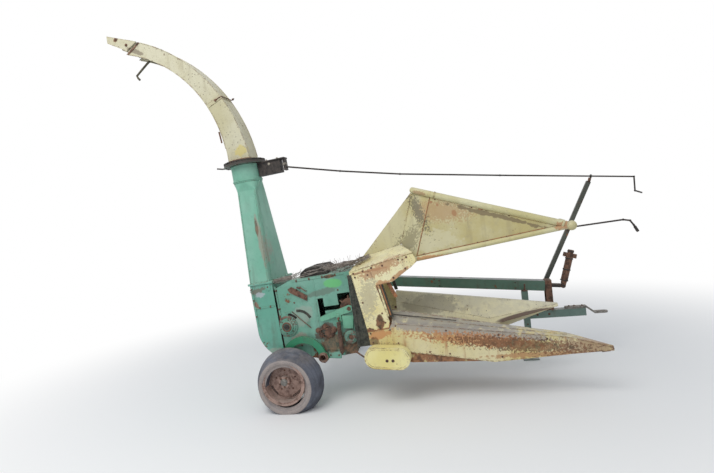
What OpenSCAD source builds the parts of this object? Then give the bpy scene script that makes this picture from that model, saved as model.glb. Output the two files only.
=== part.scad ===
// Pull-type forage harvester with a one-row row-crop head.
// +X points forward to the hitch, +Y to the machine's left, +Z up. The origin is the hitch pin hole.

/* [Stance] */
// Nose-up lean of the chopper body on a level floor, degrees
lean = 4; // [2:0.5:7]
// Height of the wheel centres above the floor
axle_h = 285; // [270:5:320]
// Distance from the middle of the chopper body's frame forward to the hitch pin
hitch_x = 3070; // [2900:10:3300]
// Offset of the drawbar to the left of the centre between the wheels
hitch_y = 350; // [250:10:450]

/* [Wheels] */
// Outside radius of the tyres
tyre_r = 325; // [310:5:350]
// Width of the tyres
tyre_w = 236; // [200:4:250]
// Radius of the rim where the tyre sits
rim_r = 190; // [180:2:205]
// Distance from the machine's centre line to the inner side of each tyre
tyre_in_y = 852; // [840:2:900]
// Radius of the wheel spindles
spindle_r = 22; // [18:1:26]

/* [Axle] */
// Radius of the cross axle tube
axle_tube_r = 36; // [30:1:42]
// Forward place of the axle tube from the wheel centre, in the body's own frame
axle_tube_x = 323; // [300:1:340]
// Height of the axle tube above the wheel centre, in the body's own frame
axle_tube_z = 95; // [80:1:110]
// Thickness of the cranked axle arms
crank_t = 30; // [20:2:36]

/* [Chopper body] */
// Outer side of the near side plate, as a distance right of the centre line
body_near_y = 766; // [740:2:780]
// Outer side of the far side plate, as a distance right of the centre line
body_far_y = 234; // [200:2:260]
// Thickness of the body side plates
plate_t = 6; // [4:1:8]
// Thickness of the sheet metal of covers and pans
sheet_t = 4; // [3:0.5:5]
// Forward end of the body side plates at the top
body_front_x = 700; // [680:5:720]
// Height of the body side plates' top edge
body_top_z = 860; // [840:5:880]
// Radius of the cutterhead at its knives
cutter_r = 240; // [200:5:260]
// Radius of the curved pan under the cutterhead
pan_r = 302.7; // [290:0.1:305]
// Forward place of the cutterhead shaft
cutter_x = 5; // [0:1:10]
// Height of the cutterhead shaft
cutter_z = 423; // [410:1:430]
// Radius of the cutterhead shaft
cutter_shaft_r = 25; // [20:1:30]

/* [Feed rolls] */
// Forward place of the lower feed roll
low_roll_x = 614; // [600:1:620]
// Height of the lower feed roll
low_roll_z = 247; // [240:1:255]
// Radius of the lower feed roll
low_roll_r = 70; // [60:1:76]
// Forward place of the upper feed roll
up_roll_x = 640; // [620:1:650]
// Height of the upper feed roll
up_roll_z = 512; // [500:1:525]
// Radius of the upper feed roll over its ribs
up_roll_r = 120; // [100:1:130]
// Radius of the feed roll shafts
roll_shaft_r = 18; // [15:1:22]

/* [Discharge] */
// Rear side of the rear housing
rear_x = -306; // [-320:2:-296]
// Front side of the rear housing
rear_front_x = -76; // [-90:2:-70]
// Height of the flange between rear housing and pipe
pipe_base_z = 878; // [870:2:890]
// Height of the top of the pipe, under the turntable
pipe_top_z = 2070; // [1900:10:2150]
// Radius of the round neck of the pipe and of the spout's foot
neck_r = 142; // [125:1:150]
// Outer radius of the turntable rings
ring_r = 206; // [190:2:230]
// Thickness of each turntable ring
ring_t = 20; // [12:1:24]
// Width of the spout across its two sides
spout_w = 210; // [180:5:230]
// Radius of the spout's curved outer wall
spout_out_r = 1630; // [1560:10:1700]
// Radius of the spout's curved inner wall
spout_in_r = 1315; // [1250:5:1380]

/* [Drawbar] */
// Height of the drawbar beam
bar_h = 80; // [70:2:100]
// Width of the drawbar beam
bar_w = 100; // [80:2:120]
// Radius of the hitch pin hole
hitch_hole_r = 16; // [13:0.5:20]
// Thickness of the hitch strap
strap_t = 18; // [14:1:24]

/* [Row head] */
// Distance of the row's centre right of the centre line
row_y = 510; // [490:2:530]
// Distance from the row's centre to the outer side of each gathering unit
head_half_w = 350; // [330:2:370]
// Outer radius of the hood frame tubes
hood_tube_r = 28; // [22:1:32]

/* [Hidden] */
fine = 48;
seat = 0.3;
run = 0.08;
axle_y = tyre_in_y - 20;
tyre_mid_y = tyre_in_y + tyre_w / 2;
body_in_near = -(body_near_y - plate_t);
body_in_far = -(body_far_y + plate_t);
body_w = body_in_far - body_in_near;
pipe_x = -158;
pipe_y = -600;
ring_x = -200;
bar_z = 140;
bar_wall = 8;
strap_drop = 67;
strap_z = bar_z + bar_h / 2 + seat + strap_t / 2;
hitch_z = strap_z - strap_drop;
wheel_at = [-22, -36];
spindle_at = [wheel_at.x * cos(lean) + wheel_at.y * sin(lean),
  wheel_at.y * cos(lean) - wheel_at.x * sin(lean)];
floor_z = wheel_at.y - axle_h;
bar_rear_x = axle_tube_x * cos(lean) - axle_tube_z * sin(lean) + axle_tube_r + seat;
jack_x = 2285;
jack_in = 52;
jack_y = hitch_y;

green = [0.24, 0.5, 0.38];
yellow = [0.85, 0.78, 0.45];
rust = [0.35, 0.22, 0.16];
dark = [0.2, 0.17, 0.16];

// Places its children, given level from the middle of the chopper body's frame, from the hitch pin hole
module level() {
  translate([-hitch_x, -hitch_y, -hitch_z]) children();
}
// Places its children, given in the leaning body's own frame
module leaning() {
  level() rotate([0, -lean, 0]) children();
}
// An outline in X and Z, with its thickness from y0 up to y0 + t
module slab(y0, t) {
  translate([0, y0 + t, 0]) rotate([90, 0, 0]) linear_extrude(t) children();
}
// A rod along Y
module yrod(x, z, r, y0, y1) {
  translate([x, y1, z]) rotate([90, 0, 0]) cylinder(r = r, h = y1 - y0, $fn = fine);
}
// A straight rod between two points
module rod(a, b, r) {
  d = b - a;
  len = norm(d);
  translate(a) rotate([0, acos(d.z / len), atan2(d.y, d.x)]) cylinder(r = r, h = len, $fn = fine);
}
// A solid through a list of sections, each a ring of as many points in the same turn
module loft(rings) {
  n = len(rings[0]);
  m = len(rings);
  points = [for (ring = rings) for (p = ring) p];
  sides = [for (i = [0:m - 2]) for (j = [0:n - 1]) let (a = i * n + j, b = i * n + (j + 1) % n)
    each [[a, b, b + n], [a, b + n, a + n]]];
  ends = [[for (j = [n - 1:-1:0]) j], [for (j = [0:n - 1]) (m - 1) * n + j]];
  polyhedron(points, concat(sides, ends), convexity = 6);
}

function body_front(z) = body_front_x - (body_top_z - z) * 0.032;
module side_outline() {
  polygon([[rear_front_x + 12, 118], [rear_front_x + 12, 798], [105, body_top_z], [body_front_x, body_top_z],
    [body_front(150), 150], [645, 85], [310, 66], [140, 105], [cutter_x, 112]]);
}
module near_windows() {
  translate([345, 455]) square([55, 190]);
  translate([544, 480]) square([124, 185]);
  translate([345, 520]) square([250, 40]);
}
module arc_slot() {
  intersection() {
    difference() {
      circle(r = 128, $fn = fine);
      circle(r = 104, $fn = fine);
    }
    polygon([[0, 0], 200 * [cos(80), sin(80)], 220 * [cos(55), sin(55)], 200 * [cos(33), sin(33)]]);
  }
}
module near_side_plate() {
  color(green) leaning() slab(-body_near_y, plate_t) difference() {
    side_outline();
    near_windows();
    translate([cutter_x, cutter_z]) arc_slot();
    translate([cutter_x, cutter_z]) circle(r = cutter_shaft_r + 5, $fn = fine);
    translate([low_roll_x, low_roll_z]) circle(r = roll_shaft_r + 4, $fn = fine);
    translate([axle_tube_x, axle_tube_z]) circle(r = axle_tube_r + seat, $fn = fine);
  }
}
module far_side_plate() {
  color(green) leaning() slab(-body_far_y - plate_t, plate_t) difference() {
    side_outline();
    translate([cutter_x, cutter_z]) circle(r = cutter_shaft_r + 5, $fn = fine);
    translate([low_roll_x, low_roll_z]) circle(r = roll_shaft_r + 4, $fn = fine);
    translate([up_roll_x - 60, up_roll_z - 40]) square([120, 140]);
    translate([axle_tube_x, axle_tube_z]) circle(r = axle_tube_r + seat, $fn = fine);
  }
}
pan_end = 296;
function on_pan(r, a) = [cutter_x + r * cos(a), cutter_z + r * sin(a)];
module floor_pan() {
  y0 = rear_y0 + sheet_t + seat;
  y1 = rear_y1 - sheet_t - seat;
  color(green) leaning() {
    difference() {
      slab(y0, y1 - y0) intersection() {
        translate([cutter_x, cutter_z]) difference() {
          circle(r = pan_r + sheet_t, $fn = 96);
          circle(r = pan_r, $fn = 96);
        }
        polygon([[cutter_x, cutter_z], [cutter_x - 600, cutter_z], [cutter_x - 600, -400],
          on_pan(900, pan_end + 0.3)]);
      }
      for (y = [y0 - 50, body_in_far]) translate([rear_front_x + 5, y, 0])
        cube([400, body_in_near - y0 + 50, 400]);
    }
    slab(body_in_near, body_w)
      polygon([on_pan(pan_r + sheet_t, pan_end), [330, 140], [655, 140], [655, 144], [330, 144],
        on_pan(pan_r, pan_end)]);
  }
}
module top_cover() {
  color(green) leaning() slab(body_in_near, body_w)
    polygon([[rear_front_x + seat, 798 - sheet_t], [rear_front_x + 12, 798 - sheet_t],
      [105, body_top_z - sheet_t], [body_front_x, body_top_z - sheet_t], [body_front_x, body_top_z],
      [105, body_top_z], [rear_front_x + 12, 798], [rear_front_x + seat, 798]]);
}
module top_hood() {
  color(dark) leaning() slab(-700, 400)
    polygon([[190, body_top_z], [205, 905], [260, 938], [400, 940], [455, 900], [465, body_top_z]]);
}

module column_outline() {
  intersection() {
    translate([rear_x, 100]) square([rear_front_x - rear_x, pipe_base_z - 12 - 100]);
    union() {
      translate([cutter_x, cutter_z]) circle(r = pan_r + sheet_t + 7, $fn = 96);
      translate([rear_x, cutter_z]) square([300, 600]);
    }
  }
}
rear_y0 = -780;
rear_y1 = -220;
module rear_housing() {
  color(green) leaning() {
    slab(rear_y0, sheet_t) column_outline();
    slab(rear_y1 - sheet_t, sheet_t) column_outline();
    slab(rear_y0, rear_y1 - rear_y0) translate([rear_x, cutter_z])
      square([sheet_t, pipe_base_z - 12 - cutter_z]);
    slab(rear_y0, rear_y1 - rear_y0) translate([rear_front_x - sheet_t, 790])
      square([sheet_t, pipe_base_z - 12 - 790]);
    translate([0, 0, pipe_base_z - 12]) difference() {
      translate([rear_x - 12, rear_y0 - 14, 0])
        cube([rear_front_x - rear_x + 24, rear_y1 - rear_y0 + 28, 12]);
      translate([rear_x + 6, rear_y0 + 6, -1]) cube([rear_front_x - rear_x - 12, rear_y1 - rear_y0 - 12, 14]);
    }
  }
}
neck_z = pipe_top_z - 190;
// The pipe's outline grown by an amount, and lengthened past both ends by a cut
module pipe_body(grow, cut) {
  mid = neck_z - 90;
  hull() {
    translate([-300 - grow, -780 - grow, pipe_base_z - cut]) cube([200 + 2 * grow, 540 + 2 * grow, 1]);
    translate([-278 - grow, -722 - grow, mid]) cube([190 + 2 * grow, 240 + 2 * grow, 1]);
  }
  hull() {
    translate([-278 - grow, -722 - grow, mid]) cube([190 + 2 * grow, 240 + 2 * grow, 1]);
    translate([ring_x, pipe_y, neck_z]) cylinder(r = neck_r - 5 + grow, h = 1 + cut, $fn = 32);
  }
}
module blower_pipe() {
  color(green) leaning() difference() {
    union() {
      pipe_body(0, 0);
      translate([-318, -794, pipe_base_z]) cube([254, 570, 8]);
      translate([ring_x, pipe_y, neck_z]) cylinder(r = neck_r, h = pipe_top_z - neck_z, $fn = fine);
      translate([ring_x, pipe_y, pipe_top_z - ring_t]) cylinder(r = ring_r, h = ring_t, $fn = fine);
    }
    pipe_body(-sheet_t, 1);
    translate([ring_x, pipe_y, neck_z]) cylinder(r = neck_r - 9, h = 200, $fn = fine);
  }
}
worm_in = [230, pipe_y, 1954];
module worm_bracket() {
  top_z = pipe_top_z - ring_t;
  x0 = ring_x + neck_r + 4;
  color(dark) leaning() {
    translate([x0, pipe_y - 50, top_z - 12]) cube([worm_in.x - x0, 100, 12]);
    translate([x0, pipe_y - 40, worm_in.z - 41]) cube([234, 80, top_z - worm_in.z + 35]);
    translate([worm_in.x - 24, pipe_y - 30, worm_in.z - 30]) cube([24, 60, top_z - worm_in.z + 24]);
  }
}

module spout_ring() {
  color(dark) leaning() translate([ring_x, pipe_y, pipe_top_z + seat]) linear_extrude(ring_t) difference() {
    union() {
      circle(r = ring_r - 6, $fn = fine);
      for (i = [0:47]) rotate(i * 7.5) translate([ring_r - 12, -5]) square([12, 10]);
    }
    circle(r = neck_r - 9, $fn = fine);
  }
}
spout_foot_z = pipe_top_z + seat + ring_t;
foot_front = [ring_x + 107, spout_foot_z];
foot_back = [ring_x - 120, spout_foot_z];
out_c = foot_front - spout_out_r * [cos(3.5), sin(3.5)];
in_c = foot_back - spout_in_r * [cos(2.5), -sin(2.5)];
function on_outer(a) = out_c + spout_out_r * [cos(a), sin(a)];
function on_inner(a) = in_c + spout_in_r * [cos(a), sin(a)];
seam_out = on_outer(27.5);
seam_in = on_inner(24);
end_out = on_outer(66);
end_in = on_inner(71);
flap_at = end_out + [-124, -1];
end_along = (end_out - end_in) / norm(end_out - end_in);
ear_root = (end_out + end_in) / 2 - 22 * end_along + 27 * [end_along.y, -end_along.x];
flap_pin_r = 8;
// The spout's two curved walls seen from the side, drawn in by t
module spout_curve(t) {
  difference() {
    translate(out_c) circle(r = spout_out_r - t, $fn = 180);
    translate(in_c) circle(r = spout_in_r + t, $fn = 180);
  }
}
module spout_hollow() {
  slab(pipe_y - spout_w / 2 + sheet_t, spout_w - 2 * sheet_t) spout_curve(sheet_t);
}
module spout_foot() {
  color(yellow) leaning() difference() {
    union() {
      slab(pipe_y - spout_w / 2, spout_w) intersection() {
        spout_curve(0);
        polygon([foot_back - [300, 0], foot_front + [200, 0],
          2 * seam_out - seam_in, 2 * seam_in - seam_out]);
      }
      translate([ring_x, pipe_y, spout_foot_z]) cylinder(r = ring_r - 22, h = 6, $fn = fine);
    }
    spout_hollow();
  }
}
// The ears that carry the flap, beyond the spout's open end
module ear(r) {
  hull() {
    translate(flap_at) circle(r = r, $fn = 32);
    translate(ear_root) circle(r = r, $fn = 32);
  }
}
module spout() {
  inner_y = pipe_y - spout_w / 2 + sheet_t;
  inner_w = spout_w - 2 * sheet_t;
  color(yellow) leaning() difference() {
    slab(pipe_y - spout_w / 2, spout_w) union() {
      intersection() {
        spout_curve(0);
        polygon([2 * seam_in - seam_out, 2 * seam_out - seam_in, [seam_out.x + 200, end_out.y + 200],
          2 * end_out - end_in, 2 * end_in - end_out]);
      }
      ear(26);
    }
    spout_hollow();
    slab(inner_y, inner_w) ear(31);
    slab(inner_y, inner_w) intersection() {
      translate(in_c) circle(r = spout_in_r + 2 * sheet_t, $fn = 180);
      polygon([in_c, in_c + 2000 * [cos(50), sin(50)], in_c + 2000 * [cos(85), sin(85)]]);
    }
    yrod(flap_at.x, flap_at.y, flap_pin_r + run, pipe_y - spout_w, pipe_y + spout_w);
  }
}
module deflector_flap() {
  h = spout_w / 2;
  color(yellow) leaning() {
    difference() {
      slab(pipe_y - h - 10, 2 * h + 20) translate(flap_at)
        polygon([[-203, 141], [-207, 68], [-42, -32], [-16, -62], [114, 10]]);
      slab(pipe_y - h - 6, 2 * h + 12) translate(flap_at)
        polygon([[-230, 147.8], [-230, -100], [130, -100], [130, 40], [98, 40], [98, 12.2]]);
    }
    yrod(flap_at.x, flap_at.y, flap_pin_r, pipe_y - h - 16, pipe_y + h + 16);
  }
}

module cutterhead() {
  color("dimgray") leaning() {
    yrod(cutter_x, cutter_z, cutter_shaft_r, -body_near_y - 46, -body_far_y + 21);
    translate([cutter_x, body_in_far - 8, cutter_z]) rotate([90, 0, 0]) linear_extrude(body_w - 16) {
      circle(r = cutter_r - 25, $fn = fine);
      for (i = [0:7]) rotate(i * 45) translate([cutter_r - 50, -20])
        polygon([[0, 0], [50, 28], [50, 36], [0, 40]]);
    }
  }
}
module cutter_bearings() {
  color("gray") leaning() {
    difference() {
      union() {
        yrod(cutter_x, cutter_z, 80, -body_near_y - 14, -body_near_y);
        yrod(cutter_x, cutter_z, 58, -body_near_y - 36, -body_near_y);
      }
      yrod(cutter_x, cutter_z, cutter_shaft_r + run, -body_near_y - 40, -body_near_y + 1);
    }
    difference() {
      yrod(cutter_x, cutter_z, 70, -body_far_y, -body_far_y + 20);
      yrod(cutter_x, cutter_z, cutter_shaft_r + run, -body_far_y - 1, -body_far_y + 21);
    }
  }
}
module ribbed_roll(x, z, r, ribs, rib_h) {
  translate([x, body_in_far - 12, z]) rotate([90, 0, 0]) linear_extrude(body_w - 24) {
    circle(r = r - rib_h, $fn = fine);
    for (i = [0:ribs - 1]) rotate(i * 360 / ribs) translate([r - rib_h - 6, -5]) square([rib_h + 6, 10]);
  }
}
module lower_feed_roll() {
  color(rust) leaning() {
    yrod(low_roll_x, low_roll_z, roll_shaft_r, -body_near_y - 30, -body_far_y + 20);
    ribbed_roll(low_roll_x, low_roll_z, low_roll_r, 10, 8);
  }
}
module upper_feed_roll() {
  color(rust) leaning() {
    yrod(up_roll_x, up_roll_z, roll_shaft_r, -body_near_y - 26, -body_far_y + 30);
    ribbed_roll(up_roll_x, up_roll_z, up_roll_r, 8, 25);
  }
}
module roll_bearings() {
  color(green) leaning() {
    difference() {
      yrod(low_roll_x, low_roll_z, 50, -body_near_y - 24, -body_near_y);
      yrod(low_roll_x, low_roll_z, roll_shaft_r + run, -body_near_y - 30, -body_near_y + 1);
    }
    difference() {
      yrod(low_roll_x, low_roll_z, 50, -body_far_y, -body_far_y + 18);
      yrod(low_roll_x, low_roll_z, roll_shaft_r + run, -body_far_y - 1, -body_far_y + 19);
    }
    difference() {
      slab(-body_far_y, 14) polygon([[540, 430], [675, 430], [680, 560], [540, 600]]);
      yrod(up_roll_x, up_roll_z, roll_shaft_r + run, -body_far_y - 1, -body_far_y + 19);
    }
  }
}
module roll_arm() {
  color([0.35, 0.6, 0.45]) leaning() difference() {
    slab(-body_near_y - 20, 14) union() {
      hull() {
        translate([366, 452]) circle(r = 24, $fn = 32);
        translate([up_roll_x, up_roll_z]) circle(r = 34, $fn = 32);
      }
      translate([505, 400]) square([46, 80]);
    }
    yrod(up_roll_x, up_roll_z, roll_shaft_r + run, -body_near_y - 30, -body_near_y);
  }
  color([0.35, 0.6, 0.45]) leaning() yrod(366, 441, 13, -body_near_y - 7, -body_near_y);
}
module roll_spring() {
  color(rust) leaning() {
    rod([524, -body_near_y - 43, 420], [505, -body_near_y - 43, 96], 22);
    yrod(528, 436, 9, -body_near_y - 50, -body_near_y - 20);
    yrod(505, 106, 9, -body_near_y - 50, -body_near_y);
    rod([524, -body_near_y - 43, 420], [528, -body_near_y - 43, 445], 10);
  }
}
module feed_drive() {
  color(rust) leaning() {
    for (g = [[409, 312, 48, 11], [330, 300, 26, 7], [372, 372, 26, 7]])
      translate([g[0], -body_near_y - 12, g[1]]) rotate([90, 0, 0]) linear_extrude(10) {
        circle(r = g[2] - 8, $fn = 32);
        for (i = [0:g[3] - 1]) rotate(i * 360 / g[3]) translate([g[2] - 10, -4]) square([10, 8]);
      }
    for (g = [[409, 312], [330, 300], [372, 372]]) yrod(g[0], g[1], 12, -body_near_y - 30, -body_near_y);
  }
}
module sharpener_handle() {
  color(rust) leaning() {
    slab(-body_near_y - 12, 12) polygon([[70, 775], [110, 795], [255, 690], [245, 640], [90, 740]]);
    slab(-body_near_y - 30, 30) polygon([[170, 790], [205, 775], [200, 765], [168, 780]]);
  }
}

module axle_tube() {
  color(rust) leaning() difference() {
    yrod(axle_tube_x, axle_tube_z, axle_tube_r, -axle_y - 24, axle_y + 24);
    yrod(axle_tube_x, axle_tube_z, axle_tube_r - 6, -axle_y - 30, -axle_y + 60);
    yrod(axle_tube_x, axle_tube_z, axle_tube_r - 6, axle_y - 60, axle_y + 30);
  }
}
arc_c = [130, 95];
arc_r = norm([axle_tube_x, axle_tube_z] - arc_c);
// Cranked arm on the right side, from the axle tube over and down to the wheel spindle
module crank_arm() {
  y0 = -axle_y;
  spin = atan2(spindle_at.y - arc_c.y, spindle_at.x - arc_c.x);
  difference() {
    union() {
      slab(y0, crank_t) intersection() {
        translate(arc_c) difference() {
          circle(r = arc_r + 30, $fn = fine);
          circle(r = arc_r - 34, $fn = fine);
        }
        polygon([arc_c, arc_c + [400, -60], arc_c + [400, 400], arc_c + [-400, 400],
          arc_c + 500 * [cos(spin), sin(spin)]]);
      }
      yrod(axle_tube_x, axle_tube_z, axle_tube_r + 14, y0, y0 + crank_t);
      yrod(spindle_at.x, spindle_at.y, 42, y0, y0 + crank_t);
      yrod(spindle_at.x, spindle_at.y, 34, -tyre_mid_y + 60 + seat, y0 + 1);
      yrod(spindle_at.x, spindle_at.y, spindle_r, -tyre_mid_y - 40, y0 + 1);
    }
    yrod(axle_tube_x, axle_tube_z, axle_tube_r + seat, y0 - 1, y0 + crank_t + 1);
  }
}
module near_crank_arm() {
  color(green) leaning() crank_arm();
}
module far_crank_arm() {
  color(green) leaning() mirror([0, 1, 0]) crank_arm();
}
bead_w = tyre_w / 2 - 22;
bead_r = rim_r - 6;
rim_t = 6;
// A wheel's rim and hub about Z, with the outer side up
module rim() {
  e = bead_w + seat;
  f = e + rim_t;
  in_r = bead_r - rim_t;
  difference() {
    rotate_extrude($fn = 96) polygon([[0, -60], [52, -60], [52, 12], [150, 0], [in_r, -12], [in_r, -f],
      [rim_r + 16, -f], [rim_r + 16, -e], [bead_r, -e], [bead_r, e],
      [rim_r + 16, e], [rim_r + 16, f], [in_r, f],
      [in_r, -4], [150, 8], [52, 20], [52, 70], [0, 70]]);
    translate([0, 0, -61]) cylinder(r = spindle_r + run, h = 111, $fn = fine);
    for (i = [0:4]) rotate(i * 72 + 20) translate([96, 0, -5]) cylinder(r = 7, h = 40, $fn = 24);
  }
}
module tyre() {
  w = tyre_w / 2;
  difference() {
    rotate_extrude($fn = 96) polygon([
      [bead_r + seat, bead_w], [bead_r + seat, -bead_w], [rim_r + 17, -bead_w],
      [rim_r + 36, -w + 4], [rim_r + 63, -w], [tyre_r - 30, -w + 38], [tyre_r - 7, -w + 80], [tyre_r, 0],
      [tyre_r - 7, w - 80], [tyre_r - 30, w - 38],
      [rim_r + 63, w], [rim_r + 36, w - 4], [rim_r + 17, bead_w]]);
    translate([-400, -400 - axle_h, -200]) cube([800, 400, 400]);
  }
}
module place_near() {
  level() translate([wheel_at.x, -tyre_mid_y, wheel_at.y]) rotate([90, 0, 0]) children();
}
module place_far() {
  mirror([0, 1, 0]) translate([0, 2 * hitch_y, 0]) place_near() children();
}
module near_rim() {
  color(rust) place_near() rim();
}
module near_tyre() {
  color("gray") place_near() tyre();
}
module far_rim() {
  color(rust) place_far() rim();
}
module far_tyre() {
  color("gray") place_far() tyre();
}

shield_front = [2505, 500];
shield_rear_x = 530 + seat;
shield_slope = tan(6.3);
function shield_top(x) = shield_front.y + (shield_front.x - x) * shield_slope;
function shaft_z(x) = shield_top(x) - 52;
module main_gearbox() {
  color(green) level() {
    translate([330, hitch_y - 80, 600]) cube([200, 160, 190]);
    translate([400, hitch_y - 50, bar_z + bar_h / 2]) cube([90, 20, 600 - bar_z - bar_h / 2]);
    translate([400, hitch_y + 30, bar_z + bar_h / 2]) cube([90, 20, 600 - bar_z - bar_h / 2]);
    yrod(430, 695, 30, -body_far_y + 82 + seat, hitch_y - 80);
  }
}
module drive_guard() {
  color(green) leaning() {
    slab(-body_far_y + 22, 60) hull() {
      translate([cutter_x, cutter_z]) circle(r = 110, $fn = 32);
      translate([477, 663]) circle(r = 110, $fn = 32);
    }
    for (p = [[170, 540], [370, 560]]) yrod(p.x, p.y, 16, -body_far_y, -body_far_y + 30);
  }
}
bar_end = 2890;
module drawbar() {
  color(green) level() difference() {
    translate([bar_rear_x, hitch_y - bar_w / 2, bar_z - bar_h / 2])
      cube([bar_end - bar_rear_x, bar_w, bar_h]);
    translate([360, hitch_y - bar_w / 2 + bar_wall, bar_z - bar_h / 2 + bar_wall])
      cube([bar_end - 340, bar_w - 2 * bar_wall, bar_h - 2 * bar_wall]);
  }
}
module hitch_strap() {
  half = strap_t / 2;
  color(rust) level() difference() {
    union() {
      slab(hitch_y - 40, 80) polygon([
        [2690, strap_z + half], [2690, strap_z - half], [bar_end + 5, strap_z - half],
        [bar_end + 85, hitch_z - half], [hitch_x, hitch_z - half], [hitch_x, hitch_z + half],
        [bar_end + 90, hitch_z + half], [bar_end + 10, strap_z + half]]);
      translate([hitch_x, hitch_y, hitch_z - strap_t / 2]) cylinder(r = 40, h = strap_t, $fn = fine);
    }
    translate([hitch_x, hitch_y, hitch_z - strap_t]) cylinder(r = hitch_hole_r, h = 2 * strap_t, $fn = fine);
  }
}
module shaft_shield() {
  x0 = shield_rear_x;
  x1 = shield_front.x;
  color(green) level() {
    for (y = [hitch_y - 65, hitch_y + 62]) slab(y, 3)
      polygon([[x0, shield_top(x0)], [x1, shield_top(x1)],
        [x1 - 8, shield_top(x1) - 103], [x0, shield_top(x0) - 103]]);
    slab(hitch_y - 65, 130) polygon([[x0, shield_top(x0)], [x1, shield_top(x1)], [x1, shield_top(x1) - 3],
      [x0, shield_top(x0) - 3]]);
  }
}
pto_c = [2692, shaft_z(2692)];
module drive_shaft() {
  color(dark) level() difference() {
    union() {
      rod([shield_rear_x + 2.5, hitch_y, shaft_z(530)], [pto_c.x - 30, hitch_y, shaft_z(pto_c.x - 30)], 22);
      yrod(pto_c.x, pto_c.y, 26, hitch_y - 20, hitch_y + 20);
      slab(hitch_y - 20, 40) translate([pto_c.x - 45, pto_c.y - 16]) square([40, 36]);
    }
    yrod(pto_c.x, pto_c.y, 9 + run, hitch_y - 30, hitch_y + 30);
  }
}
module shaft_stand() {
  bar_top = bar_z + bar_h / 2;
  color(rust) level() difference() {
    translate([shield_front.x + seat, hitch_y - 65, bar_top]) cube([66, 130, 505 - bar_top]);
    translate([2500, hitch_y - 55, bar_top - 1]) cube([59, 110, 495 - bar_top + 1]);
    translate([2553, hitch_y, shaft_z(2565)]) rotate([0, 90, 0]) cylinder(r = 24, h = 30, $fn = fine);
  }
}
pto_angle = 73;
pto_len = 330;
// Places its children, given along X from the joint of the folded half shaft
module along_pto() {
  level() translate([pto_c.x, hitch_y, pto_c.y]) rotate([0, -pto_angle, 0]) children();
}
module pto_half_shaft() {
  color(rust) along_pto() difference() {
    union() {
      yrod(0, 0, 9, -38, 38);
      for (y = [-36, 22]) slab(y, 14) polygon([[-18, -18], [60, -24], [60, 24], [-18, 18]]);
      translate([50, 0, 0]) rotate([0, 90, 0]) cylinder(r = 36, h = pto_len - 70, $fn = fine);
      translate([pto_len - 30, 0, 0]) rotate([0, 90, 0]) cylinder(r = 30, h = 90, $fn = fine);
      translate([pto_len - 20, -25, -65]) cube([44, 50, 130]);
    }
    translate([pto_len - 29, 0, 0]) rotate([0, 90, 0]) cylinder(r = 17.5, h = 100, $fn = fine);
  }
}
mast_w = 44;
mast_y = hitch_y + 65 + mast_w / 2 + seat;
function to_level(p) = [p.x * cos(lean) - p.z * sin(lean), p.y, p.x * sin(lean) + p.z * cos(lean)];
mast_x = 3086;
rod_start = to_level(worm_in);
rod_slope = (mast_y - rod_start.y) / (mast_x - rod_start.x);
function on_rod(x, z) = [x, rod_start.y + (x - rod_start.x) * rod_slope, z];
rod_bends = [on_rod(581, 1873), on_rod(1150, 1783), on_rod(2141, 1664), on_rod(3552, 1501)];
last_run = rod_bends[3] - rod_bends[2];
mast_foot = [2490, mast_y, 400];
mast_top = rod_bends[2] + last_run * (mast_x - rod_bends[2].x) / last_run.x;
ring_in = 8.5;
// A rod through a list of points, with a round knuckle at each bend
module bent_rod(points, r) {
  last = len(points) - 2;
  for (i = [0:last]) {
    d = (points[i + 1] - points[i]) * 4 / norm(points[i + 1] - points[i]);
    rod(points[i] + (i == 0 ? 0 : 1) * d, points[i + 1] - (i == last ? 0 : 1) * d, r);
  }
  for (i = [1:last]) translate(points[i]) rotate(40) sphere(r = r + 3, $fn = fine);
}
module mast() {
  d = mast_top - mast_foot;
  color(dark) level() {
    translate(mast_foot) rotate([0, acos(d.z / norm(d)), 0]) {
      translate([-mast_w / 2, -mast_w / 2, 0]) cube([mast_w, mast_w, norm(d) - 60]);
      cylinder(r = 6, h = norm(d) - ring_in - 6, $fn = fine);
    }
    translate(mast_top) rotate([0, acos(last_run.z / norm(last_run)), atan2(last_run.y, last_run.x)])
      rotate_extrude($fn = fine) translate([ring_in + 6, 0]) circle(r = 6, $fn = 24);
  }
}
module spout_crank_rod() {
  d = rod_bends[0] - rod_start;
  start = rod_start + [seat + 8 * norm([d.y, d.z]) / norm(d), 0, 0];
  color(dark) level()
    bent_rod(concat([start], rod_bends, [rod_bends[3] + [-2, 0, -151], rod_bends[3] + [72, 25, -181]]), 8);
}
module shift_lever() {
  y = mast_y - mast_w / 2 - 9 - seat;
  top = [3450, y, 998];
  low = [3485, y, 928];
  color(dark) level() {
    bent_rod([[2795, y, 1035], [3353, y, 1063], [3419, y, 1047], top, low], 9);
    rod(top + (low - top) * 0.2, low + (low - top) * 0.04, 14);
  }
}
module jack_sleeve() {
  y = jack_y - bar_w / 2 - 32;
  color(green) level() difference() {
    translate([jack_x - 32, y - 32, -10]) cube([64, 64, shield_top(jack_x) - 112 + 10]);
    translate([jack_x, y, 289]) cube([jack_in, jack_in, 600], center = true);
  }
}
module jack_leg() {
  y = jack_y - bar_w / 2 - 32;
  color(green) level() {
    leg = jack_in - 2 * seat;
    translate([jack_x - leg / 2, y - leg / 2, floor_z + 9]) cube([leg, leg, 150 - floor_z - 9]);
    translate([jack_x - 80, y - 80, floor_z]) cube([160, 160, 10]);
  }
}

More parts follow.
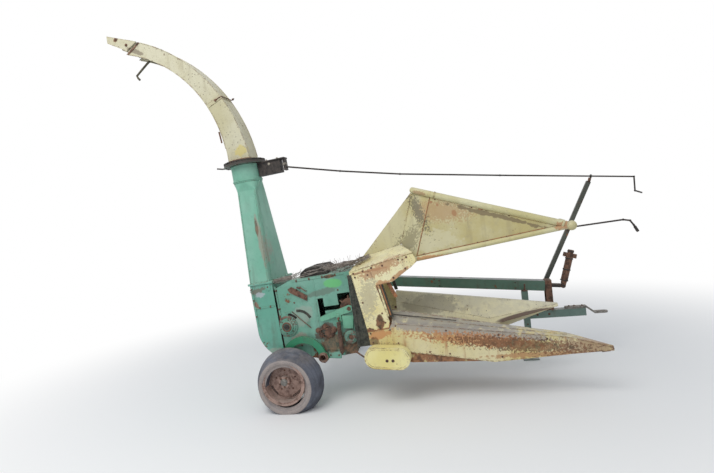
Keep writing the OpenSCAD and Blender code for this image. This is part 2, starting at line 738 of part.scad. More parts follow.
head_near_y = -row_y - head_half_w - 5;
head_far_y = -row_y + head_half_w;
post_top = [918, 837];
post_low = [1017, 352];
post_slope = (post_low.x - post_top.x) / (post_top.y - post_low.y);
function post_front(z) = post_top.x + (post_top.y - z) * post_slope;
module post_outline() {
  polygon([[736, 828], post_top, post_low, [1001, 300], [798, 288]]);
}
module near_head_post() {
  color(yellow) leaning() slab(head_near_y, 5) post_outline();
}
module far_head_post() {
  color(yellow) leaning() slab(head_far_y, 5) post_outline();
}
module head_top() {
  color(yellow) leaning() {
    loft([for (r = [
        [head_near_y, 722, 858, 1333],
        [-row_y, 790, 951, 1190],
        [head_far_y + 5, 722, 858, 1333]])
      let (front_z = r[2] + (r[3] - r[1]) * 0.14)
      [[r[1], r[0], r[2]], [r[1], r[0], r[2] - sheet_t],
        [r[3], r[0], front_z - sheet_t], [r[3], r[0], front_z]]]);
    yrod(cross_x, fold_low.z - 2, cross_r, head_near_y + 5, head_far_y);
    for (y = [head_near_y, head_far_y]) slab(y, 5)
      polygon([[722, 857], [1333, 942.5], [1350, 858], [1290, 815], [1190, 760], [1105, 712],
        [post_front(700) + 2 * seat, 700], [post_front(837.6) + 2 * seat, 837.6], [722, 827.7]]);
  }
}
module head_bars() {
  color(rust) leaning() {
    difference() {
      slab(head_near_y, head_far_y + 5 - head_near_y) polygon([[body_front(160) + seat, 160],
        [body_front(160) + 34, 160], [body_front(827) + 34, 827], [body_front(827) + seat, 827]]);
      translate([600, -756, 195]) cube([300, 512, 455]);
    }
    for (y = [head_near_y + 5, head_far_y - 12]) slab(y, 12)
      polygon([[690, 160], [825, 160], [805, 298], [765, 827], [720, 827]]);
    for (c = [[head_near_y + 5, 396], [head_far_y - 30, 537]]) slab(c[0], 30) for (x = [925, 975])
      polygon([[x, 712], [x + 30, 712],
        [x + 30 + (712 - c[1]) * 0.16, c[1]], [x + (712 - c[1]) * 0.16, c[1]]]);
  }
}
// Frame of one gathering unit with its finger chain, at the right of the row
module gather_frame() {
  y_out = head_near_y + 5;
  y_in = -row_y - 112;
  slab(y_out, 12) polygon([[830, 300], [960, 300], [1010, 130], [1150, 104], [2430, -98], [2430, -125],
    [1910, -112], [1159, -40], [830, 40]]);
  slab(y_in - 12, 12) polygon([[790, 150], [1150, 104], [2300, -78], [2300, -110],
    [1159, 40], [800, 90]]);
  for (x = [840, 1200, 1600, 2000]) {
    z = 104 - (x - 1150) * 0.158;
    translate([x, y_out + 6, z - 50]) cube([40, y_in - y_out - 12, 30]);
  }
  translate([2270, y_out + 6, -118]) cube([40, y_in - y_out - 12, 30]);
}
module finger_chain() {
  y_in = -row_y - 112;
  for (i = [0:11]) translate([850 + i * 120, y_in + 1, 146 - i * 19]) rotate([0, 9, 0]) cube([26, 54, 12]);
  translate([835, y_in - 7, 143]) rotate([0, 9, 0]) cube([1390, 13, 20]);
}
module near_gather_frame() {
  color(rust) leaning() {
    gather_frame();
    finger_chain();
  }
}
module far_gather_frame() {
  color(rust) leaning() translate([0, -2 * row_y, 0]) mirror([0, 1, 0]) {
    gather_frame();
    finger_chain();
  }
}
// A divider's sheet metal shell, open below, through sections of ridge, shoulders and lower edges
module divider(sections, t) {
  difference() {
    loft([for (s = sections) [[s[0], s[1], s[2]], [s[0], s[3], s[4]], [s[0], s[5], s[6]], [s[0], s[7], s[8]],
      [s[0], s[9], s[10]]]]);
    loft([for (s = sections) [[s[0] - 1, s[1] + t, s[2] - 40], [s[0] - 1, s[3] + t, s[4] - t],
      [s[0] - 1, s[5], s[6] - t], [s[0] - 1, s[7] - t, s[8] - t], [s[0] - 1, s[9] - t, s[10] - 40]]]);
  }
}
module near_snout() {
  color(yellow) leaning() {
    divider([
      [1030, -864.3, 92, -864.3, 338, -792, 390, -720, 441, -640, 215],
      [1870, -864.3, -114, -864.3, 160, -792, 182, -720, 203, -660, 40],
      [2500, -864.3, -118, -864.3, 24, -820, 34, -770, 40, -700, -60],
      [2835, -886, -128, -884, -100, -878, -90, -868, -88, -860, -118]], 4);
    slab(-864.3, 4) polygon([[799, 287], [1001, 299], [1031, 338], [1031, 118], [802, 166]]);
  }
}
module far_snout() {
  color(yellow) leaning() divider([
    [1018, -380, 330, -330, 440, -240, 534, -155.7, 526, -155.7, 106],
    [1890, -400, 95, -390, 160, -240, 333, -155.7, 328, -155.7, -30],
    [2555, -205, 150, -200, 168, -185, 176, -166, 176, -155.7, 140]], 4);
}
module gearcase_cover() {
  color(yellow) leaning() translate([955, 0, 54]) rotate([0, 9, 0])
    for (c = [[107, 98], [120.4, 66], [124.7, 40]]) slab(-985, c[0]) hull() {
      translate([-108, 0]) circle(r = c[1], $fn = 32);
      translate([108, 0]) circle(r = c[1], $fn = 32);
    }
}
fold_top = [1566, -780, 1424];
fold_low = [1345, -780, 872];
seam_top = [1391, -row_y - 4, 1501];
fold_run = (fold_top - fold_low) * 0.883;
seam_low = seam_top - fold_run;
nose = [2690, -780, 944];
low_run = (nose - fold_low) / (nose.x - fold_low.x);
cross_x = 1310;
cross_r = 24;
module hood_panel() {
  slab(-782, 4) polygon([[fold_top.x, fold_top.z], [nose.x, nose.z], [fold_low.x, fold_low.z]]);
  loft([[fold_top, fold_low, fold_low + [0, 4, 0], fold_top + [0, 4, 0]],
    [seam_top, seam_low, seam_low + [0, 4, 0], seam_top + [0, 4, 0]]]);
  rod(fold_top, nose, hood_tube_r);
  rod(seam_top + [0, -20, 0], fold_top, hood_tube_r);
  rod(fold_low - (fold_low.x - cross_x - cross_r - seat) * low_run, nose, hood_tube_r - 6);
  translate(fold_top) sphere(r = hood_tube_r + 1, $fn = fine);
  translate(nose) sphere(r = 42, $fn = fine);
}
module near_hood_panel() {
  color(yellow) leaning() hood_panel();
}
module far_hood_panel() {
  color(yellow) leaning() translate([0, -2 * row_y, 0]) mirror([0, 1, 0]) hood_panel();
}
module hood_gusset() {
  color(yellow) leaning() slab(-row_y - 3, 6) polygon([[seam_top.x - 5, seam_top.z - 4],
    [seam_low.x - 3.5, 1007.8], [800, 952.7]]);
}

near_side_plate();
far_side_plate();
floor_pan();
top_cover();
top_hood();
rear_housing();
blower_pipe();
worm_bracket();
cutterhead();
cutter_bearings();
upper_feed_roll();
lower_feed_roll();
roll_bearings();
roll_arm();
roll_spring();
feed_drive();
sharpener_handle();
axle_tube();
near_crank_arm();
far_crank_arm();
near_rim();
near_tyre();
far_rim();
far_tyre();
main_gearbox();
drive_guard();
drawbar();
hitch_strap();
shaft_shield();
drive_shaft();
shaft_stand();
pto_half_shaft();
mast();
spout_crank_rod();
shift_lever();
jack_sleeve();
jack_leg();
near_head_post();
far_head_post();
head_top();
head_bars();
near_gather_frame();
far_gather_frame();
near_snout();
far_snout();
gearcase_cover();
near_hood_panel();
far_hood_panel();
hood_gusset();
spout_ring();
spout_foot();
spout();
deflector_flap();
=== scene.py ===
# %% [markdown]
# # A weathered pull-type forage harvester
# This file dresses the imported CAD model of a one-row forage harvester. The CAD gives the solid shapes and
# the joints. Here they get their paint, rust and dirt, and the small metalwork that makes an old machine
# look real: bolts, worn tyres, rolled edges, a chain, a spring and dry stems caught on the covers.

import math
import random

import bpy
from mathutils import Matrix, Vector


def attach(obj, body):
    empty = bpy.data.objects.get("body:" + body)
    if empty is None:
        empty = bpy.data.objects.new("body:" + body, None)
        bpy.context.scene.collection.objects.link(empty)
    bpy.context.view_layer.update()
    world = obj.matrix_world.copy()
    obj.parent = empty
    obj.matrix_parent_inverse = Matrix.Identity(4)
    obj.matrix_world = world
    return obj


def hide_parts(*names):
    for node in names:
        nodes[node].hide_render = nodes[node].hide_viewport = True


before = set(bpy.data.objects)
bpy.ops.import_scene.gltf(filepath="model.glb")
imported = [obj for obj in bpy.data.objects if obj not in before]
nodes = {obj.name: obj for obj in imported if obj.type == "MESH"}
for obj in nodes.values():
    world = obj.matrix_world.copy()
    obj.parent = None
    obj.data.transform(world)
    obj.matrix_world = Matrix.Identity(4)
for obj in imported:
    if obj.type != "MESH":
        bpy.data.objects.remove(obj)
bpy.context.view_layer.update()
bpy.ops.object.select_all(action="DESELECT")

# %% [markdown]
# ## Two frames
# The row's origin is the hitch pin hole. The chopper body leans back by four degrees, so its pieces are
# easier to place in a frame that leans with it. That frame starts between the wheels, a little above and
# ahead of their centres. `LEANING` and `LEVEL` carry a finished piece to the row's frame, from the leaning
# frame and from one that starts at the same place and stands level.

# %% Frames
LEAN = math.radians(4)
START = Vector((-3.070, -0.350, -0.1223))
FLOOR_DROP = 0.321
LEVEL = Matrix.Translation(START)
LEANING = LEVEL @ Matrix.Rotation(-LEAN, 4, "Y")
FLOOR_Z = START.z - FLOOR_DROP


def leaning(x, y, z):
    return LEANING @ Vector((x, y, z))


print("cutter shaft in the row's frame:", leaning(0.005, -0.5, 0.423))

# %% [markdown]
# ## Camera
# The photograph was taken from the machine's right side, a little ahead of square, on ground that falls away
# under the drawbar. The model stands on a level floor, so the camera takes up the slope instead: it is
# turned about the Y axis by the angle between the two.

# %% Camera
EYE = Vector((-1.326, -5.65, 1.288))
SWING, DIP, SLOPE = math.radians(12), math.radians(3.72), math.radians(6.5)
SENSOR_MM, FOCAL_PIXELS, PICTURE_PIXELS = 36, 500, 714
ahead = Vector((-math.sin(SWING) * math.cos(DIP), math.cos(SWING) * math.cos(DIP), -math.sin(DIP)))
aside = Vector((math.cos(SWING), math.sin(SWING), 0))
above = aside.cross(ahead)
tilt = Matrix.Rotation(SLOPE, 3, "Y")
ahead, aside, above = tilt @ ahead, tilt @ aside, tilt @ above
turn = Matrix((aside, above, -ahead)).transposed()
bpy.ops.object.camera_add(location=EYE, rotation=turn.to_euler())
camera = bpy.context.object
camera.name = "photo_camera"
camera.data.sensor_width = SENSOR_MM
camera.data.lens = SENSOR_MM * FOCAL_PIXELS / PICTURE_PIXELS
bpy.context.scene.camera = camera
print("camera at", EYE)

# %% [markdown]
# ## Building node trees
# `put` places a node and sets its values or links, so that every tree below reads as a short list of
# steps. `do_math`, `ramp`, `mix`, `place` and `noise` are the nodes that come back most often.

# %% Single nodes


def put(tree, kind, values=None, **settings):
    made = tree.nodes.new(kind)
    for key_name, value in settings.items():
        setattr(made, key_name, value)
    for socket, value in (values or {}).items():
        if hasattr(value, "links"):
            tree.links.new(value, made.inputs[socket])
        else:
            made.inputs[socket].default_value = value
    return made


def do_math(tree, operation, a, b=0.5, clamp=False):
    return put(tree, "ShaderNodeMath", {0: a, 1: b}, operation=operation, use_clamp=clamp).outputs[0]


def ramp(tree, value, low, high, start=0.0, end=1.0):
    made = put(tree, "ShaderNodeMapRange", {"Value": value, "From Min": low, "From Max": high,
                                            "To Min": start, "To Max": end}, clamp=True,
               interpolation_type="SMOOTHSTEP")
    return made.outputs["Result"]


def mix(tree, factor, a, b):
    made = tree.nodes.new("ShaderNodeMix")
    made.data_type = "RGBA"
    for socket, value in ((0, factor), (6, a), (7, b)):
        if hasattr(value, "links"):
            tree.links.new(value, made.inputs[socket])
        else:
            made.inputs[socket].default_value = value if socket == 0 else (*value, 1)[:4]
    return made.outputs[2]


def place(tree, scale=(1, 1, 1)):
    spot = put(tree, "ShaderNodeTexCoord").outputs["Object"]
    return put(tree, "ShaderNodeMapping", {"Vector": spot, "Scale": scale}).outputs["Vector"]


def noise(tree, scale, detail, rough=0.5, at=None):
    at = place(tree) if at is None else at
    return put(tree, "ShaderNodeTexNoise", {"Vector": at, "Scale": scale, "Detail": detail,
                                            "Roughness": rough}).outputs["Fac"]


print("node helpers ready")

# %% [markdown]
# ## Node groups
# Every weathering effect that more than one finish uses is a node group with named inputs. `make_group`
# opens a group with its sockets, `use` sets one in a tree, and `mask` does that for a group that gives a
# mask.

# %% Groups of nodes
ONE_MASK = [("Mask", "float")]


def make_group(name, inputs, outputs):
    tree = bpy.data.node_groups.new(name, "ShaderNodeTree")
    kinds = {"color": "NodeSocketColor", "float": "NodeSocketFloat", "vector": "NodeSocketVector"}
    for label, kind, value in inputs:
        socket = tree.interface.new_socket(label, in_out="INPUT", socket_type=kinds[kind])
        socket.default_value = value
    for label, kind in outputs:
        tree.interface.new_socket(label, in_out="OUTPUT", socket_type=kinds[kind])
    return tree, tree.nodes.new("NodeGroupInput").outputs, tree.nodes.new("NodeGroupOutput")


def use(tree, group, values=None):
    return put(tree, "ShaderNodeGroup", values, node_tree=group)


def mask(tree, group, **values):
    return use(tree, group, values).outputs["Mask"]


print("group helpers ready")

# %% [markdown]
# ## Light
# The day was overcast. A pale world gives most of the light, and one large lamp above the camera's left
# shoulder gives the soft shading that shows the folds. The background is white only to the camera: the
# world swaps its colour for white on a camera ray, and on a ray that a shiny or clear face has bent.

# %% Light
world = bpy.context.scene.world or bpy.data.worlds.new("overcast")
bpy.context.scene.world = world
world.use_nodes = True
air = world.node_tree
sky = air.nodes["Background"]
sky.inputs["Color"].default_value = (0.93, 0.96, 1.0, 1)
sky.inputs["Strength"].default_value = 0.62
white = put(air, "ShaderNodeBackground", {"Color": (1, 1, 1, 1)})
ray = put(air, "ShaderNodeLightPath").outputs
seen = do_math(air, "MAXIMUM", ray["Is Camera Ray"], ray["Is Glossy Ray"])
seen = do_math(air, "MAXIMUM", seen, ray["Is Transmission Ray"])
swap = put(air, "ShaderNodeMixShader", {0: seen, 1: sky.outputs[0], 2: white.outputs[0]})
air.links.new(swap.outputs[0], air.nodes["World Output"].inputs["Surface"])
bpy.context.scene.view_settings.view_transform = "Standard"

bpy.ops.object.light_add(type="AREA", location=(-4.0, -5.0, 6.0),
                         rotation=(math.radians(42), 0, math.radians(-28)))
key = bpy.context.object
key.name = "soft_key"
key.data.shape = "DISK"
key.data.size = 5.0
key.data.energy = 230
key.data.color = (1.0, 0.985, 0.95)
print("lamp at", tuple(key.location))

# %% [markdown]
# ## Floor
# The pale floor keeps the machine's shadow and fades into the white of the background a few metres out.
# Only the camera sees the fade.

# %% Floor
FADE_FROM, FADE_TO = 2.2, 6.0
bpy.ops.mesh.primitive_plane_add(size=80, location=(-2, 0, FLOOR_Z - 0.001))
floor = bpy.context.object
floor.name = "floor"
floor_finish = bpy.data.materials.new("pale_floor")
floor_finish.use_nodes = True
floor.data.materials.append(floor_finish)
floor.select_set(False)
ground = floor_finish.node_tree
matt = ground.nodes["Principled BSDF"]
matt.inputs["Base Color"].default_value = (0.86, 0.87, 0.88, 1)
matt.inputs["Roughness"].default_value = 0.9
spot = put(ground, "ShaderNodeTexCoord").outputs["Object"]
length = put(ground, "ShaderNodeVectorMath", {0: spot}, operation="LENGTH").outputs["Value"]
fade = put(ground, "ShaderNodeMapRange", {"Value": length, "From Min": FADE_FROM, "From Max": FADE_TO},
           interpolation_type="SMOOTHSTEP").outputs["Result"]
ray = put(ground, "ShaderNodeLightPath").outputs
only_seen = do_math(ground, "MULTIPLY", fade, ray["Is Camera Ray"])
glow = put(ground, "ShaderNodeEmission")
swap = put(ground, "ShaderNodeMixShader", {0: only_seen, 1: matt.outputs[0], 2: glow.outputs[0]})
ground.links.new(swap.outputs[0], ground.nodes["Material Output"].inputs["Surface"])
print("floor at", FLOOR_Z)

# %% [markdown]
# ## Weather groups
# *Patches* are where rust or lichen has taken hold: broad noise broken up by fine noise. *Streaks* are the
# dark runs that rain leaves on upright sheets, noise stretched along Z. *Specks* are the pits and lichen
# dots of old paint.

# %% Patches, streaks and specks
patches, given, made = make_group("patches", [("Scale", "float", 6.0), ("Amount", "float", 0.3),
                                              ("Ragged", "float", 0.5), ("Shift", "float", 0.0)], ONE_MASK)
spot = put(patches, "ShaderNodeVectorMath", {0: place(patches), 1: given["Shift"]},
           operation="ADD").outputs[0]
broad = noise(patches, given["Scale"], 3.0, 0.55, spot)
fine = noise(patches, do_math(patches, "MULTIPLY", given["Scale"], 7.3), 4.0, 0.7, spot)
fine_part = do_math(patches, "MULTIPLY", do_math(patches, "SUBTRACT", fine, 0.5), given["Ragged"])
level = do_math(patches, "ADD", broad, fine_part)
edge = do_math(patches, "SUBTRACT", 0.78, do_math(patches, "MULTIPLY", given["Amount"], 0.55))
patches.links.new(ramp(patches, level, edge, do_math(patches, "ADD", edge, 0.06)), made.inputs["Mask"])

streaks, given, made = make_group("streaks", [("Scale", "float", 14.0), ("Amount", "float", 0.5)], ONE_MASK)
long_noise = noise(streaks, given["Scale"], 4.0, 0.6, place(streaks, (1, 1, 0.09)))
broken = noise(streaks, 5.0, 2.0)
run = do_math(streaks, "MULTIPLY", ramp(streaks, long_noise, 0.5, 0.72), ramp(streaks, broken, 0.35, 0.6))
streaks.links.new(do_math(streaks, "MULTIPLY", run, given["Amount"]), made.inputs["Mask"])

specks, given, made = make_group("specks", [("Scale", "float", 90.0), ("Size", "float", 0.16),
                                            ("Amount", "float", 0.5)], ONE_MASK)
cells = put(specks, "ShaderNodeTexVoronoi", {"Vector": place(specks), "Scale": given["Scale"],
                                             "Randomness": 1.0})
dot = ramp(specks, cells.outputs["Distance"], given["Size"], do_math(specks, "MULTIPLY", given["Size"], 0.5))
gate = do_math(specks, "SUBTRACT", 0.8, do_math(specks, "MULTIPLY", given["Amount"], 0.5))
some = ramp(specks, noise(specks, 7.0, 2.0), gate, do_math(specks, "ADD", gate, 0.08))
specks.links.new(do_math(specks, "MULTIPLY", dot, some), made.inputs["Mask"])
print("weather groups:", [g.name for g in bpy.data.node_groups])

# %% [markdown]
# ## Dust, edges and marks
# *Settled dust* lies on what faces up. *Worn edges* compares the true normal with a softened one, which
# shows where a corner has lost its paint. *Mark* is one stain at one place, torn at its border by noise.

# %% Dust, edges and marks
MARK_GRAIN = 18.0
settled, given, made = make_group("settled_dust", [("Amount", "float", 0.5), ("Scale", "float", 8.0)],
                                  ONE_MASK)
normal = put(settled, "ShaderNodeNewGeometry").outputs["Normal"]
facing = put(settled, "ShaderNodeSeparateXYZ", {0: normal}).outputs["Z"]
cloud = noise(settled, given["Scale"], 4.0, 0.65)
lies = do_math(settled, "MULTIPLY", ramp(settled, facing, 0.35, 0.95), ramp(settled, cloud, 0.3, 0.62))
settled.links.new(do_math(settled, "MULTIPLY", lies, given["Amount"]), made.inputs["Mask"])

worn, given, made = make_group("worn_edges", [("Width", "float", 0.006), ("Amount", "float", 0.6)], ONE_MASK)
soft_normal = put(worn, "ShaderNodeBevel", {"Radius": given["Width"]}, samples=3).outputs["Normal"]
true_normal = put(worn, "ShaderNodeNewGeometry").outputs["True Normal"]
together = put(worn, "ShaderNodeVectorMath", {0: soft_normal, 1: true_normal},
               operation="DOT_PRODUCT").outputs["Value"]
chips = noise(worn, 28.0, 4.0)
bare = do_math(worn, "MULTIPLY", ramp(worn, together, 0.97, 0.86), ramp(worn, chips, 0.42, 0.56))
worn.links.new(do_math(worn, "MULTIPLY", bare, given["Amount"]), made.inputs["Mask"])

mark, given, made = make_group("mark", [("Place", "vector", (0, 0, 0)), ("Reach", "vector", (0.1, 0.1, 0.1)),
                                        ("Turn", "float", 0.0), ("Ragged", "float", 0.5),
                                        ("Grain", "float", MARK_GRAIN)], ONE_MASK)
away = put(mark, "ShaderNodeVectorMath", {0: place(mark), 1: given["Place"]}, operation="SUBTRACT").outputs[0]
turned = put(mark, "ShaderNodeVectorRotate", {"Vector": away, "Angle": given["Turn"], "Axis": (0, 1, 0)},
             rotation_type="AXIS_ANGLE").outputs[0]
scaled = put(mark, "ShaderNodeVectorMath", {0: turned, 1: given["Reach"]}, operation="DIVIDE").outputs[0]
far = put(mark, "ShaderNodeVectorMath", {0: scaled}, operation="LENGTH").outputs["Value"]
tear = do_math(mark, "SUBTRACT", noise(mark, given["Grain"], 4.0, 0.65), 0.5)
far = do_math(mark, "ADD", far, do_math(mark, "MULTIPLY", tear, given["Ragged"]))
mark.links.new(ramp(mark, far, 1.0, 0.72), made.inputs["Mask"])
print("six weather groups ready")

# %% [markdown]
# ## Rust and dirt as colours
# Rust is never one brown. `rust_tones` runs from near black scale through red brown to orange dust, and
# gives the height that its crust stands up by. `paint_tones` lets sun-bleached paint drift between its
# fresh and its faded colour.

# %% Rust and paint tones
rust_tones, given, made = make_group("rust_tones", [("Dark", "color", (0.05, 0.026, 0.018, 1)),
                                                    ("Middle", "color", (0.19, 0.085, 0.045, 1)),
                                                    ("Bright", "color", (0.42, 0.20, 0.10, 1)),
                                                    ("Scale", "float", 22.0)],
                                     [("Color", "color"), ("Height", "float")])
big = noise(rust_tones, given["Scale"], 6.0, 0.7)
small = noise(rust_tones, do_math(rust_tones, "MULTIPLY", given["Scale"], 6.0), 3.0, 0.7)
lower = mix(rust_tones, ramp(rust_tones, big, 0.36, 0.56), given["Dark"], given["Middle"])
bright_part = do_math(rust_tones, "MULTIPLY", ramp(rust_tones, small, 0.5, 0.72),
                      ramp(rust_tones, big, 0.42, 0.66))
rust_tones.links.new(mix(rust_tones, bright_part, lower, given["Bright"]), made.inputs["Color"])
crust_height = do_math(rust_tones, "ADD", big, do_math(rust_tones, "MULTIPLY", small, 0.6))
rust_tones.links.new(crust_height, made.inputs["Height"])

paint_tones, given, made = make_group("paint_tones", [("Fresh", "color", (0.5, 0.45, 0.2, 1)),
                                                      ("Faded", "color", (0.6, 0.58, 0.4, 1)),
                                                      ("Shade", "color", (0.3, 0.27, 0.16, 1)),
                                                      ("Scale", "float", 2.2)], [("Color", "color")])
wide = noise(paint_tones, given["Scale"], 5.0, 0.6)
mottle = noise(paint_tones, do_math(paint_tones, "MULTIPLY", given["Scale"], 9.0), 5.0, 0.7)
base = mix(paint_tones, ramp(paint_tones, wide, 0.35, 0.65), given["Fresh"], given["Faded"])
base = mix(paint_tones, ramp(paint_tones, mottle, 0.5, 0.8, 0.0, 0.55), base, given["Shade"])
paint_tones.links.new(base, made.inputs["Color"])
print("tone groups ready")

# %% [markdown]
# ## Finishes
# `painted` builds a sheet-metal finish from the groups: paint that drifts, streaks, dust on top, specks,
# rust in patches and along worn edges, and last the marks that one piece alone has. `rusty` is bare metal
# that has rusted all over. Each finish sets its plain values on the shader's own sockets.

# %% The finish makers
finishes = {}


def open_finish(name):
    finish = bpy.data.materials.new(name)
    finish.use_nodes = True
    finishes[name] = finish
    return finish.node_tree, finish.node_tree.nodes["Principled BSDF"]


def raise_skin(tree, shader, height, strength, distance):
    bump = put(tree, "ShaderNodeBump", {"Height": height, "Strength": strength, "Distance": distance})
    tree.links.new(bump.outputs["Normal"], shader.inputs["Normal"])


def painted(name, fresh, faded, shade, rust=0.25, rust_scale=5.0, grime=0.5, grime_color=(0.10, 0.085, 0.06),
            dust=0.4, dust_color=(0.42, 0.40, 0.36), speck=0.5, speck_color=(0.09, 0.07, 0.05), edge=0.6,
            marks=(), tone_scale=2.2, gloss=0.5, edge_width=0.006):
    """Each mark is a place and a reach in metres, a turn, a raggedness, a tint or None for rust, a strength
    and, where the usual grain doesn't do, a grain."""
    tree, shader = open_finish(name)
    color = use(tree, paint_tones, {"Fresh": (*fresh, 1), "Faded": (*faded, 1), "Shade": (*shade, 1),
                                    "Scale": tone_scale}).outputs["Color"]
    color = mix(tree, mask(tree, streaks, Amount=grime), color, grime_color)
    color = mix(tree, mask(tree, settled, Amount=dust), color, dust_color)
    color = mix(tree, mask(tree, specks, Amount=speck), color, speck_color)
    color = mix(tree, mask(tree, specks, Amount=speck * 0.8, Scale=34.0, Size=0.2), color, speck_color)
    rusted = mask(tree, patches, Amount=rust, Scale=rust_scale)
    rusted = do_math(tree, "MAXIMUM", rusted, mask(tree, worn, Amount=edge, Width=edge_width))
    crust = use(tree, rust_tones)
    for at, reach, angle, ragged, tint, strength, *grain in marks:
        stain = mask(tree, mark, Place=leaning(*at), Reach=reach, Turn=angle + LEAN, Ragged=ragged,
                     Grain=grain[0] if grain else MARK_GRAIN)
        stain = do_math(tree, "MULTIPLY", stain, strength)
        if tint is None:
            rusted = do_math(tree, "MAXIMUM", rusted, stain)
        else:
            color = mix(tree, stain, color, tint)
    color = mix(tree, rusted, color, crust.outputs["Color"])
    tree.links.new(color, shader.inputs["Base Color"])
    tree.links.new(ramp(tree, rusted, 0.0, 1.0, gloss, 0.92), shader.inputs["Roughness"])
    height = do_math(tree, "MULTIPLY", rusted, do_math(tree, "ADD", crust.outputs["Height"], 0.3))
    raise_skin(tree, shader, height, 0.5, 0.003)


def rusty(name, dark, middle, bright, dust=0.4, dust_color=(0.36, 0.31, 0.27), scale=22.0, metal=0.0,
          rough=0.88, paint=None, paint_left=0.0, bump_height=0.004, speck=0.3):
    """paint and paint_left are the colour and the share of the old paint that is still on."""
    tree, shader = open_finish(name)
    crust = use(tree, rust_tones, {"Dark": (*dark, 1), "Middle": (*middle, 1), "Bright": (*bright, 1),
                                   "Scale": scale})
    color = crust.outputs["Color"]
    if paint:
        color = mix(tree, mask(tree, patches, Amount=paint_left, Scale=7.0, Ragged=0.8, Shift=3.1), color,
                    paint)
    color = mix(tree, mask(tree, streaks, Amount=0.45), color, dark)
    color = mix(tree, mask(tree, settled, Amount=dust), color, dust_color)
    color = mix(tree, mask(tree, specks, Amount=speck), color, dust_color)
    tree.links.new(color, shader.inputs["Base Color"])
    shader.inputs["Metallic"].default_value = metal
    shader.inputs["Roughness"].default_value = rough
    raise_skin(tree, shader, crust.outputs["Height"], 0.6, bump_height)


print("finish makers ready")

# %% [markdown]
# ## Green paints
# The chopper, its housing and its pipe are a bleached blue-green. The shield, the frame and the mast are
# darker, and the wheel arms are fresher. The marks stand where the photograph shows them, given in the
# leaning frame in metres.

# %% Green paints
painted("chopper_green", (0.125, 0.33, 0.245), (0.20, 0.41, 0.325), (0.10, 0.20, 0.16), rust=0.2, grime=0.55,
        speck=0.45, edge=0.7,
        marks=[((0.62, -0.77, 0.14), (0.13, 0.2, 0.10), 0.2, 0.9, None, 0.9),
               ((0.42, -0.77, 0.20), (0.22, 0.2, 0.09), 0.3, 1.0, None, 0.8),
               ((0.50, -0.77, 0.84), (0.07, 0.2, 0.02), 0.0, 0.8, None, 0.9),
               ((0.52, -0.77, 0.77), (0.105, 0.2, 0.05), -0.1, 0.35, (0.13, 0.50, 0.16), 0.8),
               ((0.10, -0.77, 0.28), (0.10, 0.2, 0.07), 0.4, 1.0, (0.30, 0.27, 0.22), 0.8),
               ((0.15, -0.77, 0.50), (0.16, 0.2, 0.10), 0.5, 1.1, (0.34, 0.37, 0.32), 0.5),
               ((0.37, -0.77, 0.32), (0.13, 0.2, 0.085), 0.3, 1.3, (0.10, 0.075, 0.06), 0.9),
               ((0.40, -0.77, 0.70), (0.16, 0.2, 0.04), 0.1, 1.4, (0.13, 0.19, 0.15), 0.8),
               ((0.60, -0.77, 0.30), (0.05, 0.2, 0.12), 0.0, 1.4, (0.16, 0.13, 0.10), 0.7)])
painted("housing_green", (0.12, 0.36, 0.27), (0.19, 0.42, 0.34), (0.10, 0.22, 0.18), rust=0.12, grime=0.4,
        speck=0.3, edge=0.7,
        marks=[((-0.24, -0.79, 0.80), (0.10, 0.2, 0.035), 0.25, 2.2, (0.15, 0.13, 0.10), 0.8, 40.0),
               ((-0.22, -0.79, 0.765), (0.055, 0.2, 0.028), 0.0, 1.8, (0.40, 0.45, 0.48), 0.8, 40.0),
               ((-0.27, -0.79, 0.67), (0.022, 0.2, 0.045), 0.5, 1.6, (0.26, 0.10, 0.07), 0.75, 40.0),
               ((-0.20, -0.79, 0.18), (0.14, 0.2, 0.05), 0.3, 1.0, (0.36, 0.40, 0.34), 0.6)])
painted("pipe_green", (0.17, 0.42, 0.31), (0.25, 0.48, 0.38), (0.12, 0.27, 0.21), rust=0.1, grime=0.3,
        speck=0.25, edge=0.7,
        marks=[((-0.12, -0.74, 1.30), (0.03, 0.3, 0.30), 0.05, 1.0, (0.30, 0.27, 0.22), 0.75),
               ((-0.14, -0.74, 1.42), (0.02, 0.3, 0.10), 0.0, 0.9, None, 0.7),
               ((-0.20, -0.60, 2.06), (0.40, 0.40, 0.0155), 0.0, 0.02, (0.045, 0.038, 0.033), 1.0)])
painted("shield_green", (0.07, 0.15, 0.11), (0.10, 0.19, 0.145), (0.08, 0.09, 0.08), rust=0.22, grime=0.7,
        dust=0.9, dust_color=(0.27, 0.26, 0.28), speck=0.5, edge=0.8)
painted("frame_green", (0.11, 0.18, 0.155), (0.165, 0.235, 0.21), (0.08, 0.12, 0.11), rust=0.25, grime=0.6,
        dust=0.9, dust_color=(0.30, 0.30, 0.29), speck=0.5, edge=0.8)
painted("mast_dark", (0.045, 0.052, 0.042), (0.075, 0.082, 0.066), (0.04, 0.035, 0.03), rust=0.3, grime=0.5,
        dust=0.4, speck=0.4, edge=0.7)
painted("arm_green", (0.02, 0.20, 0.095), (0.035, 0.24, 0.13), (0.03, 0.11, 0.07), rust=0.14, grime=0.3,
        dust=0.3, speck=0.2, edge=0.7)
painted("link_green", (0.14, 0.40, 0.26), (0.22, 0.50, 0.36), (0.10, 0.22, 0.16), rust=0.15, grime=0.4,
        edge=0.8)
print(len(finishes), "green and dark paints")

# %% [markdown]
# ## Yellow paints
# The row head is a chalky yellow with grey lichen and long runs of rust. The spout is a paler cream.

